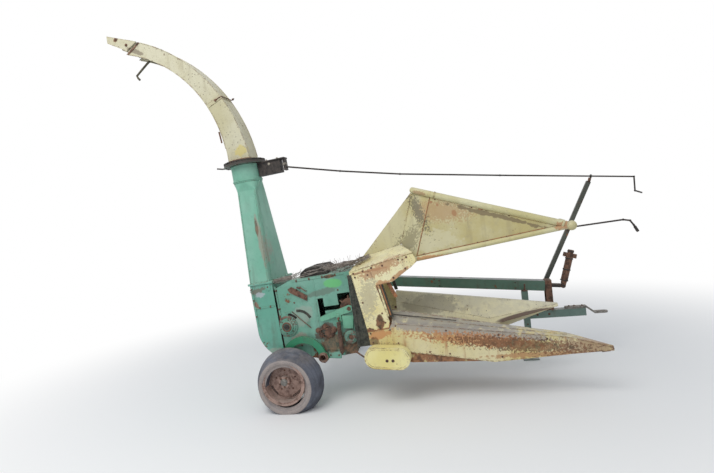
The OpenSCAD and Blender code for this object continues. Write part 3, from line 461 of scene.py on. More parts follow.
# %% Yellow paints
painted("head_yellow", (0.74, 0.63, 0.26), (0.82, 0.77, 0.49), (0.52, 0.45, 0.28), rust=0.16, grime=0.5,
        grime_color=(0.36, 0.22, 0.11), speck=1.0, speck_color=(0.24, 0.19, 0.12), dust=0.3, edge=1.0,
        edge_width=0.016,
        marks=[((0.925, -0.86, 0.355), (0.045, 0.2, 0.085), -0.2, 1.2, None, 0.95),
               ((0.80, -0.86, 0.30), (0.07, 0.2, 0.02), 0.1, 1.4, None, 0.9),
               ((1.00, -0.86, 0.70), (0.06, 0.2, 0.05), 0.0, 1.6, (0.50, 0.24, 0.10), 0.8),
               ((1.16, -0.86, 0.76), (0.14, 0.2, 0.022), 0.5, 1.6, (0.46, 0.22, 0.10), 0.8),
               ((0.90, -0.86, 0.84), (0.19, 0.2, 0.015), 0.05, 1.6, (0.46, 0.24, 0.12), 0.75),
               ((0.86, -0.86, 0.60), (0.09, 0.2, 0.22), -0.2, 3.2, (0.45, 0.41, 0.28), 0.7, 42.0),
               ((0.84, -0.86, 0.27), (0.15, 0.2, 0.04), -0.1, 2.4, (0.50, 0.24, 0.10), 0.85, 34.0),
               ((1.02, -0.86, 0.85), (0.24, 0.2, 0.06), 0.3, 3.0, (0.44, 0.22, 0.11), 0.75, 48.0)])
painted("case_yellow", (0.76, 0.67, 0.26), (0.82, 0.76, 0.38), (0.60, 0.52, 0.24), rust=0.06, grime=0.25,
        grime_color=(0.45, 0.33, 0.15), speck=0.4, speck_color=(0.30, 0.22, 0.12), dust=0.15, edge=0.9)
painted("hood_yellow", (0.50, 0.43, 0.19), (0.60, 0.56, 0.35), (0.38, 0.34, 0.22), rust=0.1, grime=0.4,
        grime_color=(0.28, 0.22, 0.13), speck=0.6, speck_color=(0.26, 0.17, 0.10), dust=0.4, edge=0.9,
        edge_width=0.012,
        marks=[((1.56, -0.78, 1.355), (0.017, 0.3, 0.013), 0.0, 1.6, (0.36, 0.17, 0.08), 0.9),
               ((1.61, -0.78, 1.318), (0.012, 0.3, 0.016), 0.0, 1.6, (0.36, 0.17, 0.08), 0.9),
               ((1.745, -0.78, 1.222), (0.022, 0.3, 0.030), 0.0, 1.9, (0.36, 0.17, 0.08), 0.9),
               ((1.978, -0.78, 1.215), (0.028, 0.3, 0.013), 0.0, 1.6, (0.36, 0.17, 0.08), 0.9),
               ((2.136, -0.78, 1.165), (0.016, 0.3, 0.012), 0.0, 1.6, (0.36, 0.17, 0.08), 0.9),
               ((1.62, -0.78, 1.26), (0.30, 0.3, 0.10), -0.2, 3.4, (0.42, 0.24, 0.11), 0.6, 60.0),
               ((1.50, -0.78, 1.00), (0.30, 0.3, 0.10), 0.1, 3.0, (0.62, 0.58, 0.38), 0.6),
               # a dark line just under the upper tube: lichen and painted shadow of the tube
               ((2.10, -0.78, 1.13), (0.50, 0.3, 0.022), -0.42, 2.2, (0.20, 0.15, 0.08), 0.85),
               ((1.26, -0.65, 1.02), (0.22, 0.25, 0.10), 0.6, 3.4, (0.26, 0.23, 0.14), 0.8, 50.0),
               ((1.42, -0.64, 1.30), (0.06, 0.25, 0.26), 0.38, 3.6, (0.16, 0.14, 0.09), 0.85, 55.0)])
# tube_yellow_painted_highlight is lighter than the hood's yellow as painted highlight on the round tubes; its
# marks are rust.
painted("tube_yellow_painted_highlight", (0.56, 0.51, 0.25), (0.64, 0.61, 0.38), (0.42, 0.37, 0.22), rust=0.12, grime=0.4,
        grime_color=(0.34, 0.24, 0.13), speck=0.5, speck_color=(0.24, 0.18, 0.12), dust=0.3, edge=0.9,
        marks=[((1.50, -0.78, 0.865), (0.26, 0.3, 0.022), -0.06, 2.2, (0.50, 0.24, 0.10), 0.85, 40.0),
               ((2.62, -0.78, 0.955), (0.08, 0.3, 0.04), 0.0, 2.4, (0.45, 0.22, 0.10), 0.8, 40.0),
               ((1.46, -0.70, 1.46), (0.10, 0.3, 0.02), -0.4, 2.2, (0.36, 0.20, 0.10), 0.7, 40.0)])
painted("snout_yellow", (0.64, 0.54, 0.23), (0.70, 0.63, 0.38), (0.46, 0.40, 0.26), rust=0.08, rust_scale=5.0,
        grime=1.0, grime_color=(0.40, 0.20, 0.09), speck=0.9, speck_color=(0.26, 0.17, 0.11), dust=1.0,
        dust_color=(0.44, 0.41, 0.33), edge=1.0, edge_width=0.012,
        marks=[((1.62, -0.86, 0.19), (0.90, 0.3, 0.05), -0.21, 1.9, (0.36, 0.32, 0.28), 0.9),
               ((1.55, -0.80, 0.30), (0.80, 0.12, 0.10), -0.21, 2.4, (0.30, 0.28, 0.25), 0.8),
               ((1.72, -0.86, 0.10), (0.60, 0.3, 0.060), -0.21, 3.4, (0.47, 0.21, 0.08), 0.85, 48.0),
               ((2.10, -0.86, 0.01), (0.62, 0.3, 0.070), -0.20, 3.4, None, 0.8, 52.0),
               ((2.25, -0.86, -0.095), (0.50, 0.3, 0.025), -0.06, 2.4, (0.42, 0.22, 0.10), 0.8, 36.0),
               ((2.64, -0.86, -0.07), (0.26, 0.3, 0.08), -0.14, 2.8, (0.36, 0.24, 0.16), 0.75, 40.0),
               ((0.90, -0.86, 0.25), (0.12, 0.3, 0.05), 0.0, 2.2, (0.55, 0.26, 0.10), 0.9),
               ((0.84, -0.86, 0.19), (0.05, 0.3, 0.05), 0.0, 1.6, None, 0.7)])
# far_snout_yellow_painted_light is painted light: much paler than the near snout's yellow, to lift it out of
# shade.
painted("far_snout_yellow_painted_light", (0.82, 0.76, 0.50), (0.86, 0.82, 0.62), (0.62, 0.58, 0.44), rust=0.14, grime=0.5,
        grime_color=(0.30, 0.24, 0.16), speck=0.7, dust=0.9, dust_color=(0.55, 0.52, 0.42), edge=0.9,
        marks=[((2.22, -0.30, 0.125), (0.46, 0.12, 0.036), 0.05, 0.25, (0.14, 0.09, 0.07), 0.95),
               ((1.35, -0.35, 0.36), (0.30, 0.3, 0.10), -0.1, 1.4, (0.40, 0.37, 0.28), 0.7)])
painted("spout_cream", (0.50, 0.465, 0.29), (0.58, 0.555, 0.41), (0.34, 0.30, 0.20), rust=0.1, grime=0.5,
        grime_color=(0.26, 0.22, 0.14), speck=1.1, speck_color=(0.13, 0.10, 0.07), dust=0.2, edge=0.9,
        edge_width=0.012,
        marks=[((-0.17, -0.70, 2.19), (0.07, 0.3, 0.06), 0.3, 2.2, (0.60, 0.50, 0.15), 0.7),
               ((-0.20, -0.70, 2.10), (0.17, 0.3, 0.018), 0.0, 1.4, None, 0.85),
               ((-1.29, -0.71, 3.56), (0.030, 0.3, 0.024), 0.4, 1.0, None, 0.9),
               ((-1.10, -0.60, 3.40), (0.12, 0.3, 0.03), -0.55, 1.0, (0.20, 0.16, 0.11), 0.8)])
print(len(finishes), "paints")

# %% [markdown]
# ## Bare and rusty metal
# Working parts are bare steel. Some have rusted brown or orange, some are black with grease, and a few keep
# the last of their paint.

# %% Bare and rusty metal
rusty("old_rust", (0.06, 0.035, 0.026), (0.17, 0.09, 0.06), (0.34, 0.19, 0.12))
rusty("dusty_rust", (0.10, 0.06, 0.05), (0.26, 0.15, 0.11), (0.42, 0.27, 0.20), dust=0.6)
rusty("rim_rust", (0.17, 0.105, 0.085), (0.37, 0.25, 0.21), (0.52, 0.39, 0.33), dust=0.6,
      dust_color=(0.45, 0.38, 0.34))
rusty("olive_steel", (0.05, 0.045, 0.03), (0.12, 0.11, 0.075), (0.22, 0.17, 0.10), dust=0.2)
# shadow_steel is near black: on the head's bars partly their own dark paint and partly painted shade.
rusty("shadow_steel", (0.02, 0.022, 0.018), (0.055, 0.06, 0.048), (0.16, 0.11, 0.075), dust=0.2)
rusty("grey_cap", (0.13, 0.12, 0.11), (0.26, 0.25, 0.23), (0.36, 0.33, 0.29), dust=0.4)
rusty("orange_rust", (0.16, 0.07, 0.035), (0.36, 0.16, 0.07), (0.52, 0.27, 0.12))
rusty("black_steel", (0.018, 0.016, 0.015), (0.05, 0.042, 0.038), (0.13, 0.09, 0.07), metal=0.35, rough=0.6,
      bump_height=0.002)
rusty("rail_rust", (0.12, 0.06, 0.035), (0.32, 0.16, 0.08), (0.52, 0.28, 0.14), paint=(0.52, 0.44, 0.22),
      paint_left=0.3)
rusty("dry_straw", (0.15, 0.12, 0.10), (0.30, 0.26, 0.23), (0.52, 0.46, 0.40), dust=0.2, bump_height=0.001)
rusty("pale_steel", (0.22, 0.20, 0.17), (0.42, 0.38, 0.31), (0.55, 0.50, 0.40), metal=0.3, rough=0.6,
      bump_height=0.001)
rusty("green_rust", (0.07, 0.05, 0.045), (0.20, 0.13, 0.10), (0.30, 0.22, 0.17), paint=(0.14, 0.27, 0.21),
      paint_left=0.6)
print(len(finishes), "finishes")

# %% [markdown]
# ## Tyre rubber
# Old rubber goes grey-blue and dull. The sidewall of the photograph's wheel is browner and paler than its
# tread, because dust sticks to it, so the rubber takes dust by the way a face looks along the axle.

# %% Rubber


def rubber(name, dark, pale, dusty):
    tree, shader = open_finish(name)
    color = use(tree, paint_tones, {"Fresh": (*dark, 1), "Faded": (*pale, 1), "Shade": (*dark, 1),
                                    "Scale": 6.0}).outputs["Color"]
    normal = put(tree, "ShaderNodeNewGeometry").outputs["Normal"]
    sideways = put(tree, "ShaderNodeSeparateXYZ", {0: normal}).outputs["Y"]
    on_side = ramp(tree, do_math(tree, "ABSOLUTE", sideways), 0.62, 0.86)
    cloud = noise(tree, 11.0, 5.0, 0.65)
    color = mix(tree, do_math(tree, "MULTIPLY", on_side, ramp(tree, cloud, 0.2, 0.6, 0.6, 1.0)), color, dusty)
    color = mix(tree, mask(tree, settled, Amount=0.5), color, dusty)
    cracks = put(tree, "ShaderNodeTexVoronoi", {"Vector": place(tree), "Scale": 55.0},
                 feature="DISTANCE_TO_EDGE")
    lines = ramp(tree, cracks.outputs["Distance"], 0.0, 0.07)
    color = mix(tree, do_math(tree, "MULTIPLY", do_math(tree, "SUBTRACT", 1.0, lines), 0.35), color, dark)
    tree.links.new(color, shader.inputs["Base Color"])
    shader.inputs["Roughness"].default_value = 0.82
    raise_skin(tree, shader, do_math(tree, "ADD", lines, cloud), 0.45, 0.002)


rubber("tyre_rubber", (0.070, 0.075, 0.095), (0.135, 0.148, 0.19), (0.36, 0.31, 0.29))
rubber("cover_rubber", (0.012, 0.012, 0.013), (0.035, 0.034, 0.034), (0.10, 0.09, 0.08))
print(len(finishes), "finishes with rubber")

# %% [markdown]
# ## Finishes on the CAD nodes
# A CAD node whose shape is right stays as it is and only gets a finish. The table below says which. The
# nodes that a piece below takes the place of are in it too, so that none is left bare.

# %% Dress the CAD nodes
wears = {
    "chopper_green": ["near_side_plate", "far_side_plate", "floor_pan", "top_cover", "roll_bearings",
                      "cutter_bearings"],
    "housing_green": ["rear_housing"],
    "pipe_green": ["blower_pipe"],
    "shield_green": ["shaft_shield"],
    "frame_green": ["drawbar", "main_gearbox", "drive_guard", "jack_sleeve", "jack_leg"],
    "arm_green": ["near_crank_arm", "far_crank_arm"],
    "link_green": ["roll_arm"],
    "head_yellow": ["near_head_post", "far_head_post", "head_top"],
    "case_yellow": ["gearcase_cover"],
    "hood_yellow": ["near_hood_panel", "far_hood_panel", "hood_gusset"],
    "snout_yellow": ["near_snout"],
    "far_snout_yellow_painted_light": ["far_snout"],
    "spout_cream": ["spout", "spout_foot", "deflector_flap"],
    "shadow_steel": ["head_bars"],
    "rim_rust": ["near_rim", "far_rim"],
    "mast_dark": ["mast"],
    "old_rust": ["upper_feed_roll", "lower_feed_roll", "roll_spring", "feed_drive", "sharpener_handle",
                 "shaft_stand", "pto_half_shaft"],
    "dusty_rust": ["axle_tube"],
    "grey_cap": ["hitch_strap"],
    "rail_rust": ["near_gather_frame", "far_gather_frame"],
    "black_steel": ["top_hood", "worm_bracket", "cutterhead", "drive_shaft", "spout_crank_rod", "shift_lever",
                    "spout_ring"],
    "tyre_rubber": ["near_tyre", "far_tyre"],
}
for finish_name, wearers in wears.items():
    for node_name in wearers:
        nodes[node_name].data.materials.clear()
        nodes[node_name].data.materials.append(finishes[finish_name])
print("dressed", sum(len(w) for w in wears.values()), "of", len(nodes))

# %% [markdown]
# ## Holding a piece
# The tools here pick out one piece, open it for editing, close it again and round its sharp edges.

# %% Holding tools
TOUCHING = 0.00005
SHARP = math.radians(40)


def only(piece):
    bpy.ops.object.select_all(action="DESELECT")
    piece.select_set(True)
    bpy.context.view_layer.objects.active = piece


def edit_all(piece):
    only(piece)
    bpy.ops.object.mode_set(mode="EDIT")
    bpy.ops.mesh.select_all(action="SELECT")


def done():
    bpy.ops.mesh.select_all(action="SELECT")
    bpy.ops.mesh.normals_make_consistent(inside=False)
    bpy.ops.object.mode_set(mode="OBJECT")
    return bpy.context.object


def round_edges(piece, width, steps=2):
    only(piece)
    cut = piece.modifiers.new("round", "BEVEL")
    cut.width, cut.segments, cut.limit_method, cut.angle_limit = width, steps, "ANGLE", SHARP
    bpy.ops.object.modifier_apply(modifier=cut.name)


print("edges sharper than", SHARP, "are rounded")

# %% [markdown]
# ## Making pieces by hand
# Each piece below is drawn the way a maker would draw it at the bench, in millimetres. `trace` walks one
# point from corner to corner and leaves a line. `sheet` fills a traced outline and pulls it to a thickness.
# `lathe` turns a traced profile about an axis, and `spin` is its turning. `bar` bends a round bar through
# points, and `strip` lays a flat one.

# %% Drawing tools
NEAR, FAR, UP, UNDER, FRONT = (0, -1, 0), (0, 1, 0), (0, 0, 1), (0, 0, -1), (1, 0, 0)


def trace(points):
    bpy.ops.mesh.primitive_plane_add(size=0.01, location=(0, 0, 0))
    bpy.ops.object.mode_set(mode="EDIT")
    bpy.ops.mesh.merge(type="CENTER")
    bpy.ops.transform.translate(value=Vector(points[0]))
    for here, there in zip(points, points[1:]):
        bpy.ops.mesh.extrude_region_move(TRANSFORM_OT_translate={"value": Vector(there) - Vector(here)})
    bpy.ops.mesh.select_all(action="SELECT")


def sheet(outline, near, far, soften=0.0):
    trace([(x / 1000, near / 1000, z / 1000) for x, z in outline])
    bpy.ops.mesh.edge_face_add()
    bpy.ops.mesh.extrude_region_move(TRANSFORM_OT_translate={"value": (0, (far - near) / 1000, 0)})
    piece = done()
    if soften:
        round_edges(piece, soften / 1000)
    return piece


def spin(steps):
    bpy.ops.mesh.spin(steps=steps, angle=math.tau, center=(0, 0, 0), axis=(0, 0, 1))
    bpy.ops.mesh.select_all(action="SELECT")
    bpy.ops.mesh.remove_doubles(threshold=TOUCHING)
    return done()


def aimed(at, toward):
    """Carries a piece that stands on the origin along Z to a place in mm and a direction."""
    return Matrix.Translation(Vector(at) / 1000) @ Vector(toward).to_track_quat("Z", "Y").to_matrix().to_4x4()


def lathe(profile, at, toward, steps=40):
    trace([(r / 1000, 0, h / 1000) for r, h in profile])
    piece = spin(steps)
    piece.matrix_world = aimed(at, toward) @ piece.matrix_world
    return piece


def bar(points, radius, sides=1, closed=False):
    trace([Vector(p) / 1000 for p in points])
    bpy.ops.object.mode_set(mode="OBJECT")
    bpy.ops.object.convert(target="CURVE")
    line = bpy.context.object.data
    line.bevel_depth, line.bevel_resolution, line.use_fill_caps = radius / 1000, sides, True
    line.splines[0].use_cyclic_u = closed
    bpy.ops.object.convert(target="MESH")
    return bpy.context.object


def strip(points, width, near, far):
    """A flat bar in X and Z that follows points, as one outline."""
    left, right = [], []
    for i, here in enumerate(points):
        before, after = Vector(points[max(i - 1, 0)]), Vector(points[min(i + 1, len(points) - 1)])
        way = (after - before).normalized()
        side = Vector((-way.y, way.x)) * width / 2
        left.append(tuple(Vector(here) + side))
        right.append(tuple(Vector(here) - side))
    return sheet(left + right[::-1], near, far)


def circle(x, z, radius, angles):
    """Places on a circle, with the angles in degrees."""
    turns = [math.radians(a) for a in angles]
    return [(x + radius * math.cos(a), z + radius * math.sin(a)) for a in turns]


print("near is", NEAR, "and far is", FAR)

# %% [markdown]
# ## Handing a piece over
# `twin` copies a piece with its own mesh, and `join` makes one piece of several. `settle` moves the finished
# piece from its own frame to the row's frame, applies that, and says what carries it.

# %% Handing over
tally = {"pieces": 0, "triangles": 0}


def twin(piece):
    copy = piece.copy()
    copy.data = piece.data.copy()
    bpy.context.scene.collection.objects.link(copy)
    return copy


def join(pieces):
    bpy.ops.object.select_all(action="DESELECT")
    for piece in pieces:
        piece.select_set(True)
    bpy.context.view_layer.objects.active = pieces[0]
    if len(pieces) > 1:
        bpy.ops.object.join()
    return bpy.context.object


def apply_place(piece):
    only(piece)
    bpy.ops.object.transform_apply(location=True, rotation=True, scale=True)


def settle(piece, name, body, finish, frame_at=LEANING, smooth=35):
    piece.matrix_world = frame_at @ piece.matrix_world
    apply_place(piece)
    edit_all(piece)
    done()
    bpy.ops.object.shade_smooth_by_angle(angle=math.radians(smooth))
    piece.name = piece.data.name = name
    piece.data.materials.clear()
    piece.data.materials.append(finishes[finish])
    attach(piece, body)
    piece.data.calc_loop_triangles()
    tally["pieces"] += 1
    tally["triangles"] += len(piece.data.loop_triangles)
    print(f"{name}: {len(piece.data.loop_triangles)} triangles on {body}")
    piece.select_set(False)
    return piece


# %% [markdown]
# ## One hex bolt
# A washer, a six-sided head with its corners turned down and the end of the thread. It is modelled once.
# Every row of bolts is made of copies with their own mesh, joined into one piece per place.

# %% The bolt and its rows
bpy.ops.mesh.primitive_cylinder_add(vertices=6, radius=0.010, depth=0.008, location=(0, 0, 0.0065))
head = bpy.context.object
round_edges(head, 0.0012, 1)
bpy.ops.mesh.primitive_cylinder_add(vertices=12, radius=0.0145, depth=0.0025, location=(0, 0, 0.00125))
washer = bpy.context.object
bpy.ops.mesh.primitive_cylinder_add(vertices=8, radius=0.0052, depth=0.006, location=(0, 0, 0.0125))
pattern_bolt = join([head, washer, bpy.context.object])
pattern_bolt.name = "pattern_bolt"


def bolts(name, places, size=1.0, frame_at=LEANING, body="chassis", finish="old_rust"):
    """places holds (x, y, z, direction) in mm; size scales the pattern bolt. Each is turned its own way."""
    row = []
    for x, y, z, toward in places:
        bolt = twin(pattern_bolt)
        turned_by = Matrix.Rotation(x * 0.7 + z * 0.3, 4, "Z")
        bolt.matrix_world = aimed((x, y, z), toward) @ turned_by @ Matrix.Diagonal((size, size, size, 1))
        apply_place(bolt)
        row.append(bolt)
    settle(join(row), name, body, finish, frame_at)


print("bolt triangles:", sum(len(p.vertices) - 2 for p in pattern_bolt.data.polygons))

# %% [markdown]
# ## The tyres
# The tyre has gone soft and crept inward on its rim, so that it looks like a cone: the outer wall slopes
# from the bead to a crown that has slid towards the machine. A section is traced and spun. The creases are
# made by pulling short stretches of the slope in with a falloff, as a hand would press them, and the foot
# is cut flat where it stands on the floor. The far tyre is a turned copy with its own mesh.

# %% Tyres
WHEEL = Vector((-0.022, 0, -0.036))
WHEEL_SIDE = 0.970
FLAT_DEPTH = 0.2848
section = [(186, 93), (206, 97), (214, 108), (226, 114), (240, 115), (252, 112), (260, 104), (264, 95),
           (266, 89), (272, 80), (281, 63), (285, 56), (284, 51), (291, 42), (300, 22), (304, 14), (302, 8),
           (309, -4), (315, -26), (316, -33), (313, -38), (318, -46), (322, -70), (323, -88), (318, -93),
           (320, -98), (314, -108), (300, -115), (280, -117.5), (236, -116), (222, -112), (206, -96),
           (186, -93), (186, 93)]
trace([(0, r / 1000, w / 1000) for r, w in section])
tyre = spin(88)
tyre.data.update()


def press(piece, at, toward, reach):
    """Pushes the skin around a point along a vector, with a smooth falloff."""
    only(piece)
    closest = min(piece.data.vertices, key=lambda v: (v.co - Vector(at)).length)
    for v in piece.data.vertices:
        v.select = v.index == closest.index
    bpy.ops.object.mode_set(mode="EDIT")
    bpy.ops.transform.translate(value=toward, use_proportional_edit=True, proportional_edit_falloff="SMOOTH",
                                proportional_size=reach)
    bpy.ops.object.mode_set(mode="OBJECT")


CREASES = 26
creases = random.Random(5)
for spoke in range(CREASES):
    angle = spoke * math.tau / CREASES + creases.uniform(-0.08, 0.08)
    out = Vector((math.cos(angle), math.sin(angle), 0))
    for at_r, at_w in ((0.292, 0.040), (0.312, -0.095)):
        press(tyre, out * at_r + Vector((0, 0, at_w)), out * -creases.uniform(0.003, 0.020),
              creases.uniform(0.035, 0.07))
for angle, depth in ((90, 0.026), (66, 0.014), (118, 0.012), (20, 0.010), (-15, 0.012), (160, 0.010)):
    out = Vector((math.cos(math.radians(angle)), math.sin(math.radians(angle)), 0))
    press(tyre, out * 0.322, out * -depth, 0.11)
lumps = bpy.data.textures.new("old_rubber_lumps", "CLOUDS")
lumps.noise_scale, lumps.noise_depth = 0.07, 3
swell = tyre.modifiers.new("lumps", "DISPLACE")
swell.texture, swell.strength, swell.mid_level = lumps, 0.005, 1.0
only(tyre)
bpy.ops.object.modifier_apply(modifier=swell.name)
stand_up = Matrix.Rotation(math.radians(90), 4, "X")
far_tyre = twin(tyre)
for piece, label, y, about in ((tyre, "near", -WHEEL_SIDE, 0.0), (far_tyre, "far", WHEEL_SIDE, math.pi)):
    piece.matrix_world = Matrix.Translation((WHEEL.x, y, WHEEL.z)) @ Matrix.Rotation(about, 4, "Z") @ stand_up
    apply_place(piece)
    edit_all(piece)
    bpy.ops.mesh.bisect(plane_co=(0, 0, WHEEL.z - FLAT_DEPTH), plane_no=(0, 0, -1), clear_outer=True,
                        use_fill=True)
    done()
    settle(piece, label + "_tyre_worn", label + "_wheel", "tyre_rubber", LEVEL, 50)
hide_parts("near_tyre")
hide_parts("far_tyre")
print("tyres worn and folded")

# %% [markdown]
# ## Wheel centres
# The hub carries a domed grease cap and two rings of nuts. On the disc, four pressed hand holes have lips
# that have rusted dark. The lips are bent bars on the disc, as a press would raise them.

# %% Hub caps, nuts and lips
SIDES = (("near", -1), ("far", 1))
for label, side in SIDES:
    out, body = (0, side, 0), label + "_wheel"
    middle = Vector((WHEEL.x * 1000, side * 970, WHEEL.z * 1000))
    dome = [(0, 94), (13, 93), (23, 89), (29, 82), (30, 73), (34, 71), (35, 68), (0, 68)]
    cap = lathe(dome, middle, out, 32)
    settle(cap, label + "_hub_cap", body, "grey_cap", LEVEL)
    studs = []
    for radius, stands, first in ((96, 13, 20), (43, 70, 56)):
        for i in range(5):
            a = math.radians(i * 72 + first)
            spot = middle + Vector((math.cos(a) * radius, side * stands, math.sin(a) * radius))
            studs.append((*spot, out))
    bolts(label + "_wheel_nuts", studs, 1.0, LEVEL, body)
    lips = []
    for start in (35, 125, 215, 305):
        arc = [math.radians(start + k * 4) for k in range(-4, 5)]
        ring = [(r * math.cos(a), r * math.sin(a))
                for r, turn in ((164, arc), (150, arc[::-1])) for a in turn]
        dished = [middle + Vector((x, side * (8.5 - (math.hypot(x, z) - 150) * 0.3), z)) for x, z in ring]
        lips.append(bar(dished, 3.2, 1, True))
    settle(join(lips), label + "_hand_hole_lips", body, "black_steel", LEVEL)

# %% [markdown]
# ## Rim edges
# The rim's outer flange is rolled over. A turned ring follows the flange, and a second one marks the step
# where the disc is welded in.

# %% Rolled rim edges
for label, side in SIDES:
    middle = (WHEEL.x * 1000, side * 970, WHEEL.z * 1000)
    roll = lathe([(205, 98), (209, 100), (210, 104), (206, 108), (199, 108), (195, 104), (196, 99)], middle,
                 (0, side, 0), 72)
    weld = lathe([(177, 4), (177.5, 0), (171, 1), (168, 5), (171, 9), (176, 10)], middle, (0, side, 0), 72)
    settle(join([roll, weld]), label + "_rim_edge", label + "_wheel", "rim_rust", LEVEL)

# %% [markdown]
# ## Tension spring of the feed roll
# The spring that pulls the upper feed roll down is a long close-wound coil. A bar is led round in turns and
# then out to a hook at each end. It takes the place of the plain CAD rod.

# %% Spring
top, low = Vector((524, -809, 420)), Vector((505, -809, 96))
along, turns, steps = low - top, 30, 12
side_a = Vector((0, 1, 0))
side_b = along.normalized().cross(side_a)
coil = [top + Vector((4, 0, 26)), top + Vector((2, 0, 8))]
for k in range(turns * steps + 1):
    a = k * math.tau / steps
    sideways = (side_a * math.cos(a) + side_b * math.sin(a)) * 17
    coil.append(top + along * (0.04 + 0.90 * k / (turns * steps)) + sideways)
coil += [low + Vector((0, 0, 10)), low + Vector((0, 0, -2))]
spring_pins = [bar([(528, -816, 440), (528, -786, 440)], 9, 2),
               bar([(505, -816, 106), (505, -766, 106)], 9, 2),
               bar([(528, -809, 446), (524, -809, 424)], 8, 2)]
spring = settle(join([bar(coil, 4.3)] + spring_pins), "roll_tension_spring", "chassis",
                "old_rust")
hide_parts("roll_spring")

# %% [markdown]
# ## Roller chain
# One chain runs round the three sprockets of the feed drive. A link is two waisted plates and a roller,
# modelled once. Its copies are laid at an even pitch along the loop that wraps the sprockets.

# %% Chain
WRAP = [(409, 312, 44), (330, 300, 22), (372, 372, 22)]
LINKS = 34
around = [spot for x, z, r in WRAP for spot in circle(x, z, r, range(0, 360, 10))]


def turns_right(a, b, c):
    """Whether the way from a over b to c turns right or goes straight on."""
    return (b[0] - a[0]) * (c[1] - a[1]) - (b[1] - a[1]) * (c[0] - a[0]) <= 0


def hull_of(points):
    """The tight loop round points in X and Z."""
    points = sorted(set(points))
    halves = []
    for run in (points, points[::-1]):
        half_hull = []
        for p in run:
            while len(half_hull) > 1 and turns_right(half_hull[-2], half_hull[-1], p):
                half_hull.pop()
            half_hull.append(p)
        halves += half_hull[:-1]
    return halves


def evenly(loop, count):
    """count places on a closed loop, each with the angle of its run."""
    lengths = [math.dist(p, q) for p, q in zip(loop, loop[1:] + loop[:1])]
    spots = []
    for k in range(count):
        left = sum(lengths) * k / count
        i = 0
        while left > lengths[i]:
            left -= lengths[i]
            i += 1
        p, q = loop[i], loop[(i + 1) % len(loop)]
        t = left / lengths[i]
        step_x, step_z = q[0] - p[0], q[1] - p[1]
        spots.append((p[0] + step_x * t, p[1] + step_z * t, math.atan2(step_z, step_x)))
    return spots


waist = [(-9, -3.5), (-6, -5), (0, -3), (6, -5), (9, -3.5), (9, 3.5), (6, 5), (0, 3), (-6, 5), (-9, 3.5)]
bpy.ops.mesh.primitive_cylinder_add(vertices=8, radius=0.0042, depth=0.013, rotation=(math.pi / 2, 0, 0),
                                    location=(-0.0065, -0.0005, 0))
roller = bpy.context.object
link = join([sheet(waist, -6, -4.4), sheet(waist, 4.4, 6), roller])
links = []
for x, z, a in evenly(hull_of(around), LINKS):
    links.append(twin(link))
    links[-1].matrix_world = Matrix.Translation((x / 1000, -0.773, z / 1000)) @ Matrix.Rotation(-a, 4, "Y")
bpy.data.objects.remove(link)
settle(join(links), "feed_drive_chain", "chassis", "old_rust")

# %% [markdown]
# ## Near side plate
# The plate is stiffened by what is welded or bolted to it: an angle along its front edge, a pressed fold, a
# folded channel at its foot, a cover over the spring's anchor and a closing strip at the housing. Each is a
# traced outline pulled to its depth, with its corners softened.

# %% Stiffeners on the near side
PLATE_Y = -766
plate_side = [
    sheet([(674, 828), (697, 828), (674, 122), (651, 128)], PLATE_Y, -774, 2),
    strip([(338, 829), (310, 365)], 12, PLATE_Y, -769),
    sheet([(366, 134), (495, 120), (483, 53), (362, 70)], PLATE_Y, -788, 4),
    strip([(-56, 822), (-50, 543)], 13, PLATE_Y, -771),
    sheet([(120, 850), (640, 850), (640, 838), (120, 838)], PLATE_Y, -771, 2),
    sheet([(0, 560), (52, 560), (58, 548), (0, 540)], PLATE_Y, -770),
]
settle(join(plate_side), "near_plate_stiffeners", "chassis", "chopper_green")
anchor = [sheet([(558, 458), (672, 442), (647, 322), (552, 332)], -766.3, -786, 4),
          sheet([(509, 484), (538, 480), (536, 410), (514, 412)], -786.5, -790, 1)]
settle(join(anchor), "spring_anchor_cover", "chassis", "link_green")
print("plate's outer face at", PLATE_Y)

# %% [markdown]
# ## Levers, slot and stirrup
# Old levers and a rod lie on the plate behind the feed drive. A near-black strip on the plate is painted shade
# for a curved slot. The lower roll's bearing has a stepped ring, and a bent stirrup makes a step or a hand
# hold.

# %% Levers, slot and stirrup
old_strips = [strip([(-58, 536), (-46, 330)], 14, PLATE_Y, -771),
              bar([(70, -770, 560), (150, -772, 470), (236, -774, 380)], 4, 1),
              lathe([(0, 20), (16, 20), (18, 14), (30, 12), (34, 6), (34, 0), (0, 0)], (452, PLATE_Y, 330),
                    NEAR, 24),
              lathe([(0, 16), (12, 16), (14, 10), (24, 8), (24, 0), (0, 0)], (300, PLATE_Y, 345), NEAR, 20),
              bar([(300, -780, 345), (340, -782, 352), (409, -784, 352), (452, -784, 330)], 6, 1)]
settle(join(old_strips), "feed_drive_levers", "chassis", "old_rust")
# A near-black strip on the plate: painted shade where a curved slot would be.
slot_shade_line = [(116, 559), (152, 556), (190, 540), (222, 512), (244, 476)]
settle(strip(slot_shade_line, 25, PLATE_Y, -768.5), "near_plate_slot_painted_shade", "chassis", "shadow_steel")
bearing_step = [(24, 0), (62, 0), (64, 6), (58, 11), (44, 13), (42, 20), (34, 22), (30, 16), (24, 16),
                (24, 0)]
low_bearing = lathe(bearing_step, (614, -787, 247), NEAR, 40)
settle(low_bearing, "lower_roll_bearing_ring", "chassis", "green_rust")
print("slot and bearing ring on the near plate")
stirrup = bar([(200, PLATE_Y, 783), (200, -788, 783), (252, -788, 736), (252, PLATE_Y, 736)], 5, 2)
settle(stirrup, "near_hand_stirrup", "chassis", "old_rust")
plate_bolts = [(x, -774, z) for x, z in ((686, 800), (681, 650), (676, 500), (671, 350), (665, 200))]
plate_bolts += [(x, -771, 844) for x in (170, 300, 430, 560)]
